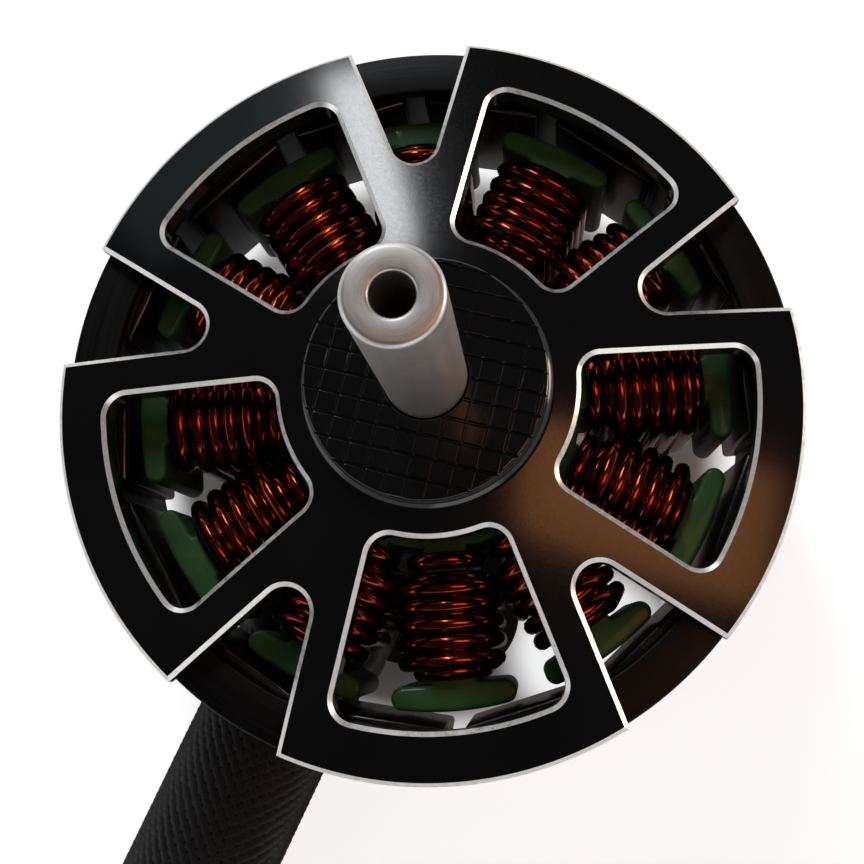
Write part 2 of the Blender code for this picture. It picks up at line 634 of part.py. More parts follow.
def make_base(material, parent):
    """Base with its bearing tube, four screw arms and the bridge that carries the leads."""
    ledge = BEARING_RADIUS - BEARING_LEDGE
    upper_seat = UPPER_BEARING_Z - PRESS_GAP
    lower_seat = LOWER_BEARING_Z + BEARING_WIDTH + PRESS_GAP
    profile = [
        (BEARING_SEAT_RADIUS, 0.0),
        (STATOR_SEAT_RADIUS, 0.0),
        (STATOR_SEAT_RADIUS, STATOR_SEAT_Z),
        (TUBE_RADIUS, STATOR_SEAT_Z),
        (TUBE_RADIUS, TUBE_TOP_Z),
        (BEARING_SEAT_RADIUS, TUBE_TOP_Z),
        (BEARING_SEAT_RADIUS, upper_seat),
        (ledge, upper_seat),
        (ledge, lower_seat),
        (BEARING_SEAT_RADIUS, lower_seat),
    ]
    hub = turned("base_hub", profile, HUB_SEGMENTS)
    additions = []
    holes = []
    for index in range(ARM_COUNT):
        angle = 2 * math.pi * index / ARM_COUNT
        outline = [turn_point(point, angle) for point in arm_outline()]
        additions.append(extruded("arm", outline, 0.0, ARM_THICKNESS))
        additions.append(rib_mesh(angle))
        centre = turn_point((SCREW_CIRCLE_RADIUS, 0.0), angle)
        holes.append(extruded("hole", circle(SCREW_HOLE_DIAMETER / 2, 14, centre),
                              -CUT_MARGIN, ARM_THICKNESS + CUT_MARGIN))
    overlap_angle = math.asin(ARM_WIDTH / 4 / BRIDGE_OUTER_RADIUS)
    bridge_start = math.pi + overlap_angle
    bridge_end = 3 * math.pi / 2 - overlap_angle
    bridge = arc(BRIDGE_OUTER_RADIUS, bridge_start, bridge_end, 8)
    bridge += arc(BRIDGE_INNER_RADIUS, bridge_end, bridge_start, 8)
    additions.append(extruded("bridge", bridge, 0.0, BRIDGE_THICKNESS))
    solid = combine("base_solid", hub, additions, "UNION")
    mesh = combine("base", solid, holes, "DIFFERENCE")
    return add_piece("base", mesh, material, parent)


def lead_frame():
    """Direction of the lead bundle at the base, its sideways direction and its nearest point."""
    forward = Vector((math.cos(LEAD_HEADING), math.sin(LEAD_HEADING), 0.0))
    side = Vector((-forward.y, forward.x, 0.0))
    return forward, side, -side * LEAD_SIDE_OFFSET


def oval(width, thickness, segments):
    """Closed oval of (side, up) points."""
    return [(math.cos(2 * math.pi * k / segments) * width / 2,
             math.sin(2 * math.pi * k / segments) * thickness / 2) for k in range(segments)]


def make_collar(material, parent):
    """Shrunk collar round the sleeve's mouth, seated on the base's bridge."""
    forward, side, foot = lead_frame()
    sizes = [
        (2 * COLLAR_HALF_WIDTH, 2 * COLLAR_HALF_HEIGHT, COLLAR_START, COLLAR_START + COLLAR_LENGTH),
        (SLEEVE_WIDTH + 2 * COLLAR_GAP, SLEEVE_THICKNESS + 2 * COLLAR_GAP,
         COLLAR_START - CUT_MARGIN, COLLAR_START + COLLAR_LENGTH + CUT_MARGIN),
    ]
    solids = []
    for width, thickness, start, end in sizes:
        rings = []
        for reach in (start, end):
            middle = foot + forward * reach + Vector((0.0, 0.0, SLEEVE_EXIT_Z))
            rings.append([middle + side * across + Vector((0.0, 0.0, up))
                          for across, up in oval(width, thickness, SHAFT_SEGMENTS)])
        solids.append(lofted("collar", rings))
    mesh = combine("lead_collar", solids[0], solids[1:], "DIFFERENCE")
    return add_piece("lead_collar", mesh, material, parent)


def smooth_route(stops, spacing):
    """Points at an even spacing on a smooth curve through the stops."""
    padded = [2 * stops[0] - stops[1]] + stops + [2 * stops[-1] - stops[-2]]
    dense = []
    pieces = 24
    for index in range(1, len(padded) - 2):
        before, start, end, after = padded[index - 1:index + 3]
        for step in range(pieces):
            t = step / pieces
            dense.append(0.5 * (2 * start + (end - before) * t
                                + (2 * before - 5 * start + 4 * end - after) * t ** 2
                                + (3 * start - before - 3 * end + after) * t ** 3))
    dense.append(stops[-1])
    length = sum((b - a).length for a, b in zip(dense, dense[1:]))
    count = max(2, round(length / spacing))
    route = [dense[0]]
    walked = 0.0
    for a, b in zip(dense, dense[1:]):
        walked += (b - a).length
        if walked >= len(route) * length / count and len(route) < count:
            route.append(b)
    route.append(dense[-1])
    return route


def make_tube(name, route, diameter, material, parent, section=None):
    """Cord along a route, round or with the section curve's outline."""
    curve = bpy.data.curves.new(name, "CURVE")
    curve.dimensions = "3D"
    curve.use_fill_caps = True
    curve.twist_mode = "Z_UP"
    if section is None:
        curve.bevel_depth = diameter / 2
        curve.bevel_resolution = 2
    else:
        curve.bevel_mode = "OBJECT"
        curve.bevel_object = section
    spline = curve.splines.new("POLY")
    spline.points.add(len(route) - 1)
    for point, place in zip(spline.points, route):
        point.co = (*place, 1.0)
    curve.materials.append(material)
    cord = bpy.data.objects.new(name, curve)
    bpy.context.scene.collection.objects.link(cord)
    cord.parent = parent
    return cord


def make_sleeve(material, parent):
    """Flat braided sleeve from the base, down to the surface and round in one loose bend."""
    forward, side, foot = lead_frame()
    start = foot + forward * (COLLAR_START + CORD_GAP)
    straight = [(0.0, SLEEVE_EXIT_Z), (3.0 * MM, SLEEVE_EXIT_Z), (6.5 * MM, SLEEVE_EXIT_Z - 0.1 * MM),
                (11.0 * MM, SLEEVE_EXIT_Z - 0.6 * MM), (15.0 * MM, SLEEVE_REST_Z + 0.1 * MM)]
    stops = [start + forward * reach + Vector((0.0, 0.0, height)) for reach, height in straight]
    bend = [(-16.3, -25.4), (-17.3, -30.4), (-16.3, -35.4), (-13.2, -39.9), (-8.2, -43.4),
            (-2.2, -44.9), (3.8, -44.2), (9.0, -41.2), (13.0, -37.0)]
    stops += [Vector((x * MM, y * MM, SLEEVE_REST_Z)) for x, y in bend]
    outline = bpy.data.curves.new("sleeve_section", "CURVE")
    outline.dimensions = "2D"
    spline = outline.splines.new("POLY")
    points = oval(SLEEVE_WIDTH, SLEEVE_THICKNESS, 10)
    spline.points.add(len(points) - 1)
    for point, (across, up) in zip(spline.points, reversed(points)):
        point.co = (across, up, 0.0, 1.0)
    spline.use_cyclic_u = True
    section = bpy.data.objects.new("sleeve_section", outline)
    section.hide_render = True
    section.display_type = "WIRE"
    bpy.context.scene.collection.objects.link(section)
    route = smooth_route(stops, 0.9 * SLEEVE_WIDTH)
    make_tube("lead_sleeve", route, SLEEVE_WIDTH, material, parent, section)
    heading = (route[-1] - route[-2]).normalized()
    return route[-1], heading


def make_leads(sleeve_end, heading, insulation, conductor, parent):
    """Three insulated leads beyond the sleeve, each with a bare tinned end."""
    across = Vector((-heading.y, heading.x, 0.0))
    rest = LEAD_DIAMETER / 2 + PRESS_GAP
    for index in range(LEAD_COUNT):
        place = index - (LEAD_COUNT - 1) / 2
        stops = []
        for reach, spread in ((0.0, 1.0), (6.0, 1.15), (14.0, 1.9), (22.0, 2.9)):
            point = sleeve_end + heading * (CORD_GAP + reach * MM) + across * (place * LEAD_PITCH * spread)
            stops.append(Vector((point.x, point.y, rest)))
        route = smooth_route(stops, 2.5 * LEAD_DIAMETER)
        make_tube(f"phase_lead_{index + 1}", route, LEAD_DIAMETER, insulation, parent)
        end_direction = (route[-1] - route[-2]).normalized()
        bare_start = route[-1] + end_direction * PRESS_GAP
        bare = [bare_start, bare_start + end_direction * LEAD_END_LENGTH]
        make_tube(f"lead_end_{index + 1}", bare, LEAD_END_DIAMETER, conductor, parent)


def make_tails(material, parent):
    """Enamelled wire ends from three coils down to the sleeve's mouth."""
    forward, side, foot = lead_frame()
    coil_foot_z = STACK_FOOT_Z - COIL_WALL
    mouth = foot + forward * (COLLAR_START - CORD_GAP) + Vector((0.0, 0.0, SLEEVE_EXIT_Z))
    drop_radius = (YOKE_RADIUS + STACK_RADIUS) / 2 - LEAD_DIAMETER
    for index in range(LEAD_COUNT):
        place = index - (LEAD_COUNT - 1) / 2
        coil_angle = LEAD_HEADING + place * 2 * math.pi / TOOTH_COUNT
        top = Vector((drop_radius * math.cos(coil_angle), drop_radius * math.sin(coil_angle),
                      coil_foot_z - TAIL_DIAMETER / 2 - PRESS_GAP))
        end = mouth + side * (place * LEAD_PITCH)
        knee = end - forward * LEAD_DIAMETER / 2 + Vector((0.0, 0.0, TAIL_DIAMETER))
        route = smooth_route([top, knee, end], 2 * TAIL_DIAMETER)
        make_tube(f"winding_tail_{index + 1}", route, TAIL_DIAMETER, material, parent)


def build_motor():
    """Build every piece under the empty of the body that carries it."""
    clear_scene()
    stator = make_group("stator")
    rotor = make_group("rotor")
    black_anodised = make_material("black_anodised", (0.012, 0.012, 0.013), 0.28, 0.85)
    ring_steel = make_material("ring_steel", (0.03, 0.03, 0.032), 0.42, 0.8)
    magnet_coat = make_material("magnet_coat", (0.30, 0.30, 0.31), 0.35, 0.9)
    shaft_steel = make_material("shaft_steel", (0.52, 0.50, 0.48), 0.3, 1.0)
    bearing_steel = make_material("bearing_steel", (0.60, 0.60, 0.61), 0.25, 1.0)
    shield_steel = make_material("shield_steel", (0.45, 0.45, 0.46), 0.35, 1.0)
    green_coat = make_material("green_coat", (0.03, 0.12, 0.035), 0.3, 0.0)
    copper_enamel = make_material("copper_enamel", (0.42, 0.09, 0.015), 0.25, 0.9)
    base_anodised = make_material("base_anodised", (0.014, 0.014, 0.015), 0.35, 0.8)
    black_braid = make_material("black_braid", (0.012, 0.012, 0.013), 0.7, 0.0)
    lead_insulation = make_material("lead_insulation", (0.015, 0.015, 0.016), 0.5, 0.0)
    tinned_wire = make_material("tinned_wire", (0.55, 0.54, 0.52), 0.35, 1.0)

    make_base(base_anodised, stator)
    make_stack(green_coat, stator)
    make_coils(copper_enamel, stator)
    make_bearing("lower_bearing", LOWER_BEARING_Z, bearing_steel, shield_steel, rotor, stator)
    make_bearing("upper_bearing", UPPER_BEARING_Z, bearing_steel, shield_steel, rotor, stator)
    make_collar(lead_insulation, stator)
    make_tails(copper_enamel, stator)
    sleeve_end, heading = make_sleeve(black_braid, stator)
    make_leads(sleeve_end, heading, lead_insulation, tinned_wire, stator)

    make_bell(black_anodised, rotor)
    make_flux_ring(ring_steel, rotor)
    make_magnets(magnet_coat, rotor)
    make_shaft(shaft_steel, rotor)
    make_washer("shaft_washer", WASHER_Z, WASHER_THICKNESS, bearing_steel, rotor)
    make_washer("bell_shim", SHIM_Z, SHIM_THICKNESS, bearing_steel, rotor)
    make_clip(bearing_steel, rotor)
    bpy.context.view_layer.update()


build_motor()
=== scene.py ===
"""Looks of the brushless motor: wound coils, coated teeth, chamfered bell, braided lead sleeve."""

import random
from math import asin, atan2, cos, hypot, pi, radians, sin, sqrt, tan

import bmesh
import bpy
import numpy as np
from mathutils import Matrix, Vector, noise


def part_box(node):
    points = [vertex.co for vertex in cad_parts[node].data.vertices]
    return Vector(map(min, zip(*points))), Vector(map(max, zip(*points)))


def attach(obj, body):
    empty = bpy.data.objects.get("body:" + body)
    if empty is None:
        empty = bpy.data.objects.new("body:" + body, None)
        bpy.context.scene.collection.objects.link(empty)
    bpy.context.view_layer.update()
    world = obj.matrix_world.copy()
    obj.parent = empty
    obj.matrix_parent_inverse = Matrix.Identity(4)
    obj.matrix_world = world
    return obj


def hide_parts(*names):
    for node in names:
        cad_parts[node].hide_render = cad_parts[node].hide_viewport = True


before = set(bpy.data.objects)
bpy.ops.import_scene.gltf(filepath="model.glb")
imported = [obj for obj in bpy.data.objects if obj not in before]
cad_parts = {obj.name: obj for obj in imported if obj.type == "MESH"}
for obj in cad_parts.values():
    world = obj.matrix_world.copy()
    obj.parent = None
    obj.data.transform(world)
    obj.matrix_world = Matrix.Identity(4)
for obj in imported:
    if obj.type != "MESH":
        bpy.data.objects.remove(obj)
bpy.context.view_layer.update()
MM = 0.001
TAU = 2 * pi
dice = random.Random(7)

# Sizes, as in the part's source
SHAFT_RADIUS, SHAFT_BORE_RADIUS = 1.5, 0.65
SHAFT_FOOT_Z, SHAFT_TIP_Z = 0.7, 30.0
FIT_RADIUS = 1.55
BELL_RADIUS, RIM_Z, DOME_RISE, DOME_ARC = 14.0, 15.0, 1.54, 83.0
BOSS_RADIUS, BOSS_TOP_Z, BOSS_SEAM_Z = 4.4, 17.7, 17.2
WINDOW_OUTER, WINDOW_INNER = 12.3, 5.43
WINDOW_SIDE, WINDOW_FILLET, NOTCH_FILLET, SPOKE_FACE = 0.75, 0.95, 1.06, 1.14
EDGE_CHAMFER = 0.16
HALF_ANGLE = pi / 10
RIM_SEAT_Z, HUB_FOOT_Z = 14.2, 12.5
RING_RADIUS, RING_BORE, RING_TOP_Z, RING_FOOT_Z = 13.9, 12.85, 14.15, 4.4
MAGNET_OUTER, MAGNET_FACE, MAGNET_FOOT_Z, MAGNET_TOP_Z = 12.8, 11.9, 5.75, 13.25
MAGNETS, MAGNET_GAP = 14, 0.73
MAGNET_WIDTH = 2 * MAGNET_FACE * tan(pi / MAGNETS) - MAGNET_GAP
TEETH, SLOT_OPENING = 12, 1.33
STACK_RADIUS, STACK_FOOT_Z, STACK_TOP_Z = 11.65, 5.7, 12.35
STACK_MIDDLE_Z = (STACK_FOOT_Z + STACK_TOP_Z) / 2
TIP_WIDTH = 2 * STACK_RADIUS * sin(pi / TEETH) - SLOT_OPENING
TIP_DEPTH, TIP_EDGE, TOOTH_WIDTH = 1.0, 0.85, 1.7
YOKE_RADIUS, STACK_BORE = 5.75, 4.4
TUBE_RADIUS, TUBE_TOP_Z, SEAT_BORE, LEDGE_BORE = 4.35, 12.25, 3.55, 3.0
ARM_TOP_Z, HOLE_CIRCLE, HOLE_RADIUS = 2.6, 8.0, 1.6
BRIDGE_OUTER, BRIDGE_INNER, BRIDGE_TOP_Z = 10.4, 8.1, 0.9
BEARING_RADIUS, BEARING_HEIGHT, RACE_WALL = 3.5, 3.0, 0.65
BALLS, BALL_RADIUS = 7, 0.425
CLEARANCE = 0.05


def new_object(name, data):
    """An object linked into the scene."""
    made = bpy.data.objects.new(name, data)
    bpy.context.scene.collection.objects.link(made)
    return made


# Camera
def make_camera():
    """Camera at the photograph's viewing angle."""
    data = bpy.data.cameras.new("camera")
    data.sensor_width = 36.0
    data.lens = 57.788
    data.shift_x = -0.06713
    data.shift_y = -0.21065
    data.clip_start = 0.001
    data.clip_end = 10.0
    camera = new_object("camera", data)
    camera.location = (0.003011, -0.009123, 0.066314)
    camera.rotation_euler = [radians(a) for a in (15.5077, 1.6103, -4.2235)]
    bpy.context.scene.camera = camera


make_camera()


# Shader helpers
class Nodes:
    """A material's node tree with short helpers."""

    def __init__(self, name):
        self.material = bpy.data.materials.new(name)
        self.material.use_nodes = True
        self.tree = self.material.node_tree

    def node(self, kind, **values):
        """A new node, with its inputs and properties set by name."""
        made = self.tree.nodes.new(kind)
        for key, value in values.items():
            if key in made.inputs:
                made.inputs[key].default_value = value
            else:
                setattr(made, key, value)
        return made

    def link(self, source, target):
        self.tree.links.new(source, target)

    def math(self, operation, first, second):
        """Result of a math node on a socket and on a socket or a number."""
        made = self.node("ShaderNodeMath", operation=operation)
        self.link(first, made.inputs[0])
        if isinstance(second, float):
            made.inputs[1].default_value = second
        else:
            self.link(second, made.inputs[1])
        return made.outputs[0]

    def remap(self, source, start, end, low, high, **settings):
        """Map a value between two limits to another range."""
        made = self.node("ShaderNodeMapRange", **settings)
        for key, value in (("From Min", start), ("From Max", end), ("To Min", low), ("To Max", high)):
            made.inputs[key].default_value = value
        self.link(source, made.inputs["Value"])
        return made.outputs[0]


class Shader(Nodes):
    """A Principled material with its procedural detail."""

    def __init__(self, name, colour, roughness, metallic=0.0, **constants):
        super().__init__(name)
        self.bsdf = self.tree.nodes["Principled BSDF"]
        constants.update(Base_Color=(*colour, 1.0), Roughness=roughness, Metallic=metallic)
        for key, value in constants.items():
            self.bsdf.inputs[key.replace("_", " ")].default_value = value
        self.material.diffuse_color = (*colour, 1.0)
        self.bump_end = None

    def place(self):
        """Object coordinates in millimetres."""
        coords = self.node("ShaderNodeTexCoord")
        mapping = self.node("ShaderNodeMapping", Scale=(1000.0, 1000.0, 1000.0))
        self.link(coords.outputs["Object"], mapping.inputs["Vector"])
        return mapping.outputs["Vector"]

    def polar(self, around, lines):
        """Coordinates round the shaft's axis: angle, height and radius, each stretched."""
        vector = self.place()
        parts = self.node("ShaderNodeSeparateXYZ")
        self.link(vector, parts.inputs[0])
        angle = self.math("ARCTAN2", parts.outputs[1], parts.outputs[0])
        flat = self.node("ShaderNodeVectorMath", operation="MULTIPLY")
        self.link(vector, flat.inputs[0])
        flat.inputs[1].default_value = (1.0, 1.0, 0.0)
        reach = self.node("ShaderNodeVectorMath", operation="LENGTH")
        self.link(flat.outputs[0], reach.inputs[0])
        joined = self.node("ShaderNodeCombineXYZ")
        sources = (angle, around), (parts.outputs[2], lines), (reach.outputs["Value"], lines)
        for (source, factor), target in zip(sources, joined.inputs):
            self.link(self.math("MULTIPLY", source, factor), target)
        return joined.outputs[0]

    def noise(self, vector, scale, detail=3.0, rough=0.5):
        made = self.node("ShaderNodeTexNoise", Scale=scale, Detail=detail, Roughness=rough)
        self.link(vector, made.inputs["Vector"])
        return made.outputs["Fac"]

    def vary_colour(self, factor, stops):
        """Map a factor through coloured stops to the base colour."""
        made = self.node("ShaderNodeValToRGB")
        elements = made.color_ramp.elements
        while len(elements) < len(stops):
            elements.new(0.5)
        for element, (place, value) in zip(elements, stops):
            element.position = place
            element.color = (*value, 1.0)
        self.link(factor, made.inputs["Fac"])
        self.link(made.outputs["Color"], self.bsdf.inputs["Base Color"])

    def vary_roughness(self, factor, low, high):
        self.link(self.remap(factor, 0.3, 0.7, low, high), self.bsdf.inputs["Roughness"])

    def mottle(self, tone, stops, grain, span, relief):
        """Colour that drifts slowly, and a fine grain that changes roughness and relief."""
        here = self.place()
        self.vary_colour(self.noise(here, *tone), stops)
        fine = self.noise(here, *grain)
        self.vary_roughness(fine, *span)
        self.bump(fine, *relief)
        return self.material

    def bump(self, factor, strength, distance_mm):
        """Relief on top of the relief that the material has already."""
        made = self.node("ShaderNodeBump", Strength=strength, Distance=distance_mm * MM)
        self.link(factor, made.inputs["Height"])
        if self.bump_end is not None:
            self.link(self.bump_end, made.inputs["Normal"])
        self.bump_end = made.outputs[0]
        self.link(self.bump_end, self.bsdf.inputs["Normal"])


def anodised(name, colour, roughness, grain):
    """Black anodised aluminium: faint bead-blasted grain and soft sheen changes."""
    s = Shader(name, colour, roughness)
    s.mottle((0.35, 2.0), [(0.3, colour), (0.7, tuple(c * 1.5 for c in colour))], (9.0, 3.0, 0.6),
             (roughness * 0.85, roughness * 1.25), (grain, 0.01))
    s.bump(s.noise(s.place(), 26.0, 2.0, 0.6), grain, 0.004)
    return s.material


def turned_metal(name, colour, roughness, grain, lines):
    """Turned metal: fine lines round the axis and small brightness changes."""
    s = Shader(name, colour, roughness, 1.0)
    line = s.noise(s.polar(0.6, lines), 3.0, 4.0, 0.7)
    s.vary_colour(line, [(0.3, tuple(c * 0.82 for c in colour)), (0.7, colour)])
    s.vary_roughness(line, roughness * 0.8, roughness * 1.25)
    s.bump(line, grain, 0.006)
    return s.material


def ground_steel():
    """Shaft steel with fine grinding lines round its axis."""
    s = Shader("ground_shaft", (0.62, 0.61, 0.60), 0.42, 1.0)
    line = s.noise(s.polar(0.6, 7.0), 3.0, 4.0, 0.7)
    s.vary_colour(line, [(0.3, (0.52, 0.51, 0.50)), (0.7, (0.66, 0.65, 0.64))])
    s.vary_roughness(line, 0.36, 0.48)
    return s.material


def bare_edge():
    """Freshly cut aluminium of the chamfers, with fine milling marks."""
    s = Shader("bare_chamfer", (0.78, 0.77, 0.75), 0.34, 1.0)
    here = s.place()
    mark = s.noise(here, 5.0, 3.0, 0.6)
    s.vary_colour(mark, [(0.3, (0.62, 0.61, 0.60)), (0.65, (0.82, 0.81, 0.79))])
    s.vary_roughness(mark, 0.26, 0.42)
    s.bump(mark, 0.3, 0.006)
    return s.material


def enamelled_copper():
    """Copper wire under a clear reddish enamel."""
    stops = [(0.3, (0.19, 0.021, 0.006)), (0.55, (0.26, 0.036, 0.009)), (0.8, (0.34, 0.07, 0.016))]
    s = Shader("enamelled_copper", (0.26, 0.036, 0.009), 0.15, 1.0, Coat_Weight=0.15, Coat_Roughness=0.1)
    return s.mottle((1.1,), stops, (12.0, 2.0), (0.12, 0.2), (0.12, 0.005))


def epoxy_green():
    """Thick glossy green epoxy coat with a soft orange-peel surface."""
    s = Shader("green_epoxy", (0.036, 0.145, 0.042), 0.5, 0.0, Coat_Weight=0.15, Coat_Roughness=0.09,
               Specular_IOR_Level=0.3)
    here = s.place()
    s.vary_colour(s.noise(here, 0.8), [(0.3, (0.025, 0.11, 0.032)), (0.55, (0.036, 0.145, 0.042)),
                                       (0.8, (0.052, 0.18, 0.052))])
    s.bump(s.noise(here, 2.2, 1.0), 0.5, 0.03)
    s.vary_roughness(s.noise(here, 16.0, 2.0), 0.42, 0.58)
    return s.material


def laminated_steel():
    """Ground edges of the stacked laminations: fine level lines."""
    s = Shader("lamination_edges", (0.32, 0.31, 0.30), 0.38, 1.0)
    wave = s.node("ShaderNodeTexWave", wave_type="BANDS", bands_direction="Z", Scale=2.5, Distortion=0.3)
    s.link(s.place(), wave.inputs["Vector"])
    s.vary_colour(wave.outputs["Fac"], [(0.2, (0.14, 0.135, 0.13)), (0.6, (0.36, 0.35, 0.34))])
    s.bump(wave.outputs["Fac"], 0.5, 0.02)
    return s.material


def plating_painted_dark():
    """Slightly dull nickel plating of the magnets, its colour set near black as painted shade for the shaded
    inside of the bell.
    """
    # Painted shade: these stops are near black rather than the grey of nickel, so the magnets read as shaded.
    stops = [(0.3, (0.042, 0.042, 0.044)), (0.7, (0.075, 0.075, 0.078))]
    s = Shader("plating_painted_dark", (0.06, 0.06, 0.063), 0.2, 1.0)
    return s.mottle((0.7,), stops, (9.0, 2.0), (0.15, 0.27), (0.1, 0.005))


def black_fibre():
    """Polyester filament of the braided sleeve."""
    stops = [(0.3, (0.0045, 0.0045, 0.005)), (0.7, (0.009, 0.009, 0.0098))]
    s = Shader("black_fibre", (0.006, 0.006, 0.0065), 0.46, 0.0, Specular_IOR_Level=0.3)
    return s.mottle((1.5,), stops, (14.0, 2.0), (0.34, 0.55), (0.3, 0.01))


def soft_rubber(name, colour, roughness):
    """Soft insulation or shrink tube with a faint skin texture."""
    stops = [(place, tuple(c * factor for c in colour)) for place, factor in ((0.3, 0.75), (0.7, 1.4))]
    s = Shader(name, colour, roughness)
    return s.mottle((0.9,), stops, (7.0,), (roughness * 0.85, roughness * 1.15), (0.35, 0.012))


BELL_BLACK = anodised("bell_anodised", (0.0030, 0.0032, 0.0040), 0.13, 0.06)
GRIP_BLACK = anodised("grip_anodised", (0.0028, 0.0030, 0.0036), 0.14, 0.1)
BASE_BLACK = anodised("base_anodised_satin", (0.010, 0.010, 0.011), 0.36, 0.6)
BARE = bare_edge()
RING_STEEL = turned_metal("blackened_ring", (0.018, 0.0185, 0.020), 0.40, 0.4, 5.0)
SHAFT_STEEL = ground_steel()
RACE_STEEL = turned_metal("race_steel", (0.62, 0.62, 0.62), 0.24, 0.3, 8.0)
SHIELD_STEEL = turned_metal("shield_plate", (0.50, 0.50, 0.51), 0.34, 0.3, 4.0)
COPPER = enamelled_copper()
GREEN = epoxy_green()
LAMINATED = laminated_steel()
PLATING_PAINTED_DARK = plating_painted_dark()
FIBRE = black_fibre()
INSULATION = soft_rubber("lead_skin", (0.013, 0.013, 0.014), 0.45)
SHRINK = soft_rubber("shrink_skin", (0.012, 0.012, 0.013), 0.38)
TINNED = turned_metal("tinned_strand", (0.60, 0.59, 0.57), 0.3, 0.2, 3.0)


# Mesh helpers: millimetres in, metres out
def smoothed(mesh, sharp):
    """Smooth shading with edges kept sharp above an angle in degrees."""
    mesh.shade_smooth()
    mesh.set_sharp_from_angle(angle=radians(sharp))
    return mesh


def stored(bm, mesh, sharp):
    bm.to_mesh(mesh)
    bm.free()
    return smoothed(mesh, sharp)


def finish_mesh(name, bm, sharp=30.0):
    bmesh.ops.recalc_face_normals(bm, faces=bm.faces[:])
    bmesh.ops.scale(bm, vec=(MM, MM, MM), verts=bm.verts[:])
    return stored(bm, bpy.data.meshes.new(name), sharp)


def turn_point(point, angle):
    x, y = point
    return (x * cos(angle) - y * sin(angle), x * sin(angle) + y * cos(angle))


def turn_points(points, angle):
    return [turn_point(point, angle) for point in points]


def arc(radius, start, end, steps, centre=(0.0, 0.0)):
    angles = [start + (end - start) * step / steps for step in range(steps + 1)]
    return [(centre[0] + radius * cos(a), centre[1] + radius * sin(a)) for a in angles]


def circle(radius, count, centre=(0.0, 0.0)):
    return arc(radius, 0.0, TAU * (count - 1) / count, count - 1, centre)


def between(start, end, steps):
    """Points inside a straight line, its ends left out."""
    return [(start[0] + (end[0] - start[0]) * k / steps, start[1] + (end[1] - start[1]) * k / steps)
            for k in range(1, steps)]


def boxed(inner, outer, foot, top):
    """Corners of a rectangular profile."""
    return [(inner, foot), (outer, foot), (outer, top), (inner, top)]


def rounded(points, radii, steps):
    """Closed profile whose corners are rounded by the given radii."""
    result = []
    count = len(points)
    for index, radius in enumerate(radii):
        corner = Vector(points[index])
        before = Vector(points[index - 1]) - corner
        after = Vector(points[(index + 1) % count]) - corner
        if radius <= 0 or before.length < 1e-6 or after.length < 1e-6:
            result.append(tuple(corner))
            continue
        before.normalize()
        after.normalize()
        half = before.angle(after) / 2
        reach = radius / tan(half)
        start = corner + before * reach
        end = corner + after * reach
        centre = corner + (before + after).normalized() * (radius / sin(half))
        first = atan2(start.y - centre.y, start.x - centre.x)
        last = atan2(end.y - centre.y, end.x - centre.x)
        sweep = (last - first + pi) % TAU - pi
        result += arc(radius, first, first + sweep, steps, tuple(centre))
    return result


def vertex_rows(bm, rows):
    return [[bm.verts.new(point) for point in row] for row in rows]


def skin(bm, rows):
    """Faces between neighbouring closed rings of vertices."""
    for a, b in zip(rows, rows[1:]):
        for k in range(len(a)):
            m = (k + 1) % len(a)
            bm.faces.new((a[k], a[m], b[m], b[k]))


def turned(name, profile, segments, sharp=30.0):
    """Solid of revolution from a closed profile of radii and heights."""
    bm = bmesh.new()
    angles = [TAU * index / segments for index in range(segments)]
    rows = vertex_rows(bm, [[(r * cos(a), r * sin(a), z) for r, z in profile] for a in angles])
    for a, b in zip(rows, rows[1:] + rows[:1]):
        for k in range(len(profile)):
            m = (k + 1) % len(profile)
            bm.faces.new((a[k], b[k], b[m], a[m]))
    return finish_mesh(name, bm, sharp)


def extruded(name, outline, foot, top):
    bm = bmesh.new()
    face = bm.faces.new([bm.verts.new((x, y, foot)) for x, y in outline])
    raised = bmesh.ops.extrude_face_region(bm, geom=[face])
    moved = [v for v in raised["geom"] if isinstance(v, bmesh.types.BMVert)]
    bmesh.ops.translate(bm, verts=moved, vec=(0.0, 0.0, top - foot))
    return finish_mesh(name, bm)


def lofted(name, rings):
    bm = bmesh.new()
    rows = vertex_rows(bm, rings)
    skin(bm, rows)
    bm.faces.new(rows[0][::-1])
    bm.faces.new(rows[-1])
    return finish_mesh(name, bm)


def evaluated(body, steps):
    """Mesh of a body after a list of modifiers given as (kind, settings)."""
    target = new_object("work", body)
    for kind, settings in steps:
        modifier = target.modifiers.new(kind, kind)
        for key, value in settings.items():
            setattr(modifier, key, value)
    bpy.context.view_layer.update()
    graph = bpy.context.evaluated_depsgraph_get()
    result = bpy.data.meshes.new_from_object(target.evaluated_get(graph), depsgraph=graph)
    for used in [target] + [settings["object"] for _, settings in steps if "object" in settings]:
        bpy.data.objects.remove(used, do_unlink=True)
    return result


def cut(body, tools, operation="DIFFERENCE"):
    settings = {"operation": operation, "solver": "EXACT"}
    return evaluated(body, [("BOOLEAN", {"object": new_object("tool", tool), **settings}) for tool in tools])


def cleaned(mesh, sharp=30.0):
    bm = bmesh.new()
    bm.from_mesh(mesh)
    bmesh.ops.remove_doubles(bm, verts=bm.verts[:], dist=0.000002)
    bmesh.ops.dissolve_degenerate(bm, edges=bm.edges[:], dist=0.000002)
    return stored(bm, mesh, sharp)


def softened(mesh, width, segments, angle):
    """Round every edge that is sharper than an angle in degrees."""
    bevel = {"width": width * MM, "segments": segments, "limit_method": "ANGLE",
             "angle_limit": radians(angle)}
    return smoothed(evaluated(mesh, [("BEVEL", bevel)]), angle)


def add_piece(name, data, materials, body, slot, *nodes):
    """Link a piece, give it its materials and say what it rides on and stands for."""
    made = new_object(name, data)
    data.materials.clear()
    for material in materials:
        data.materials.append(material)
    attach(made, body)
    if nodes:
        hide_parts(*nodes)
    return made


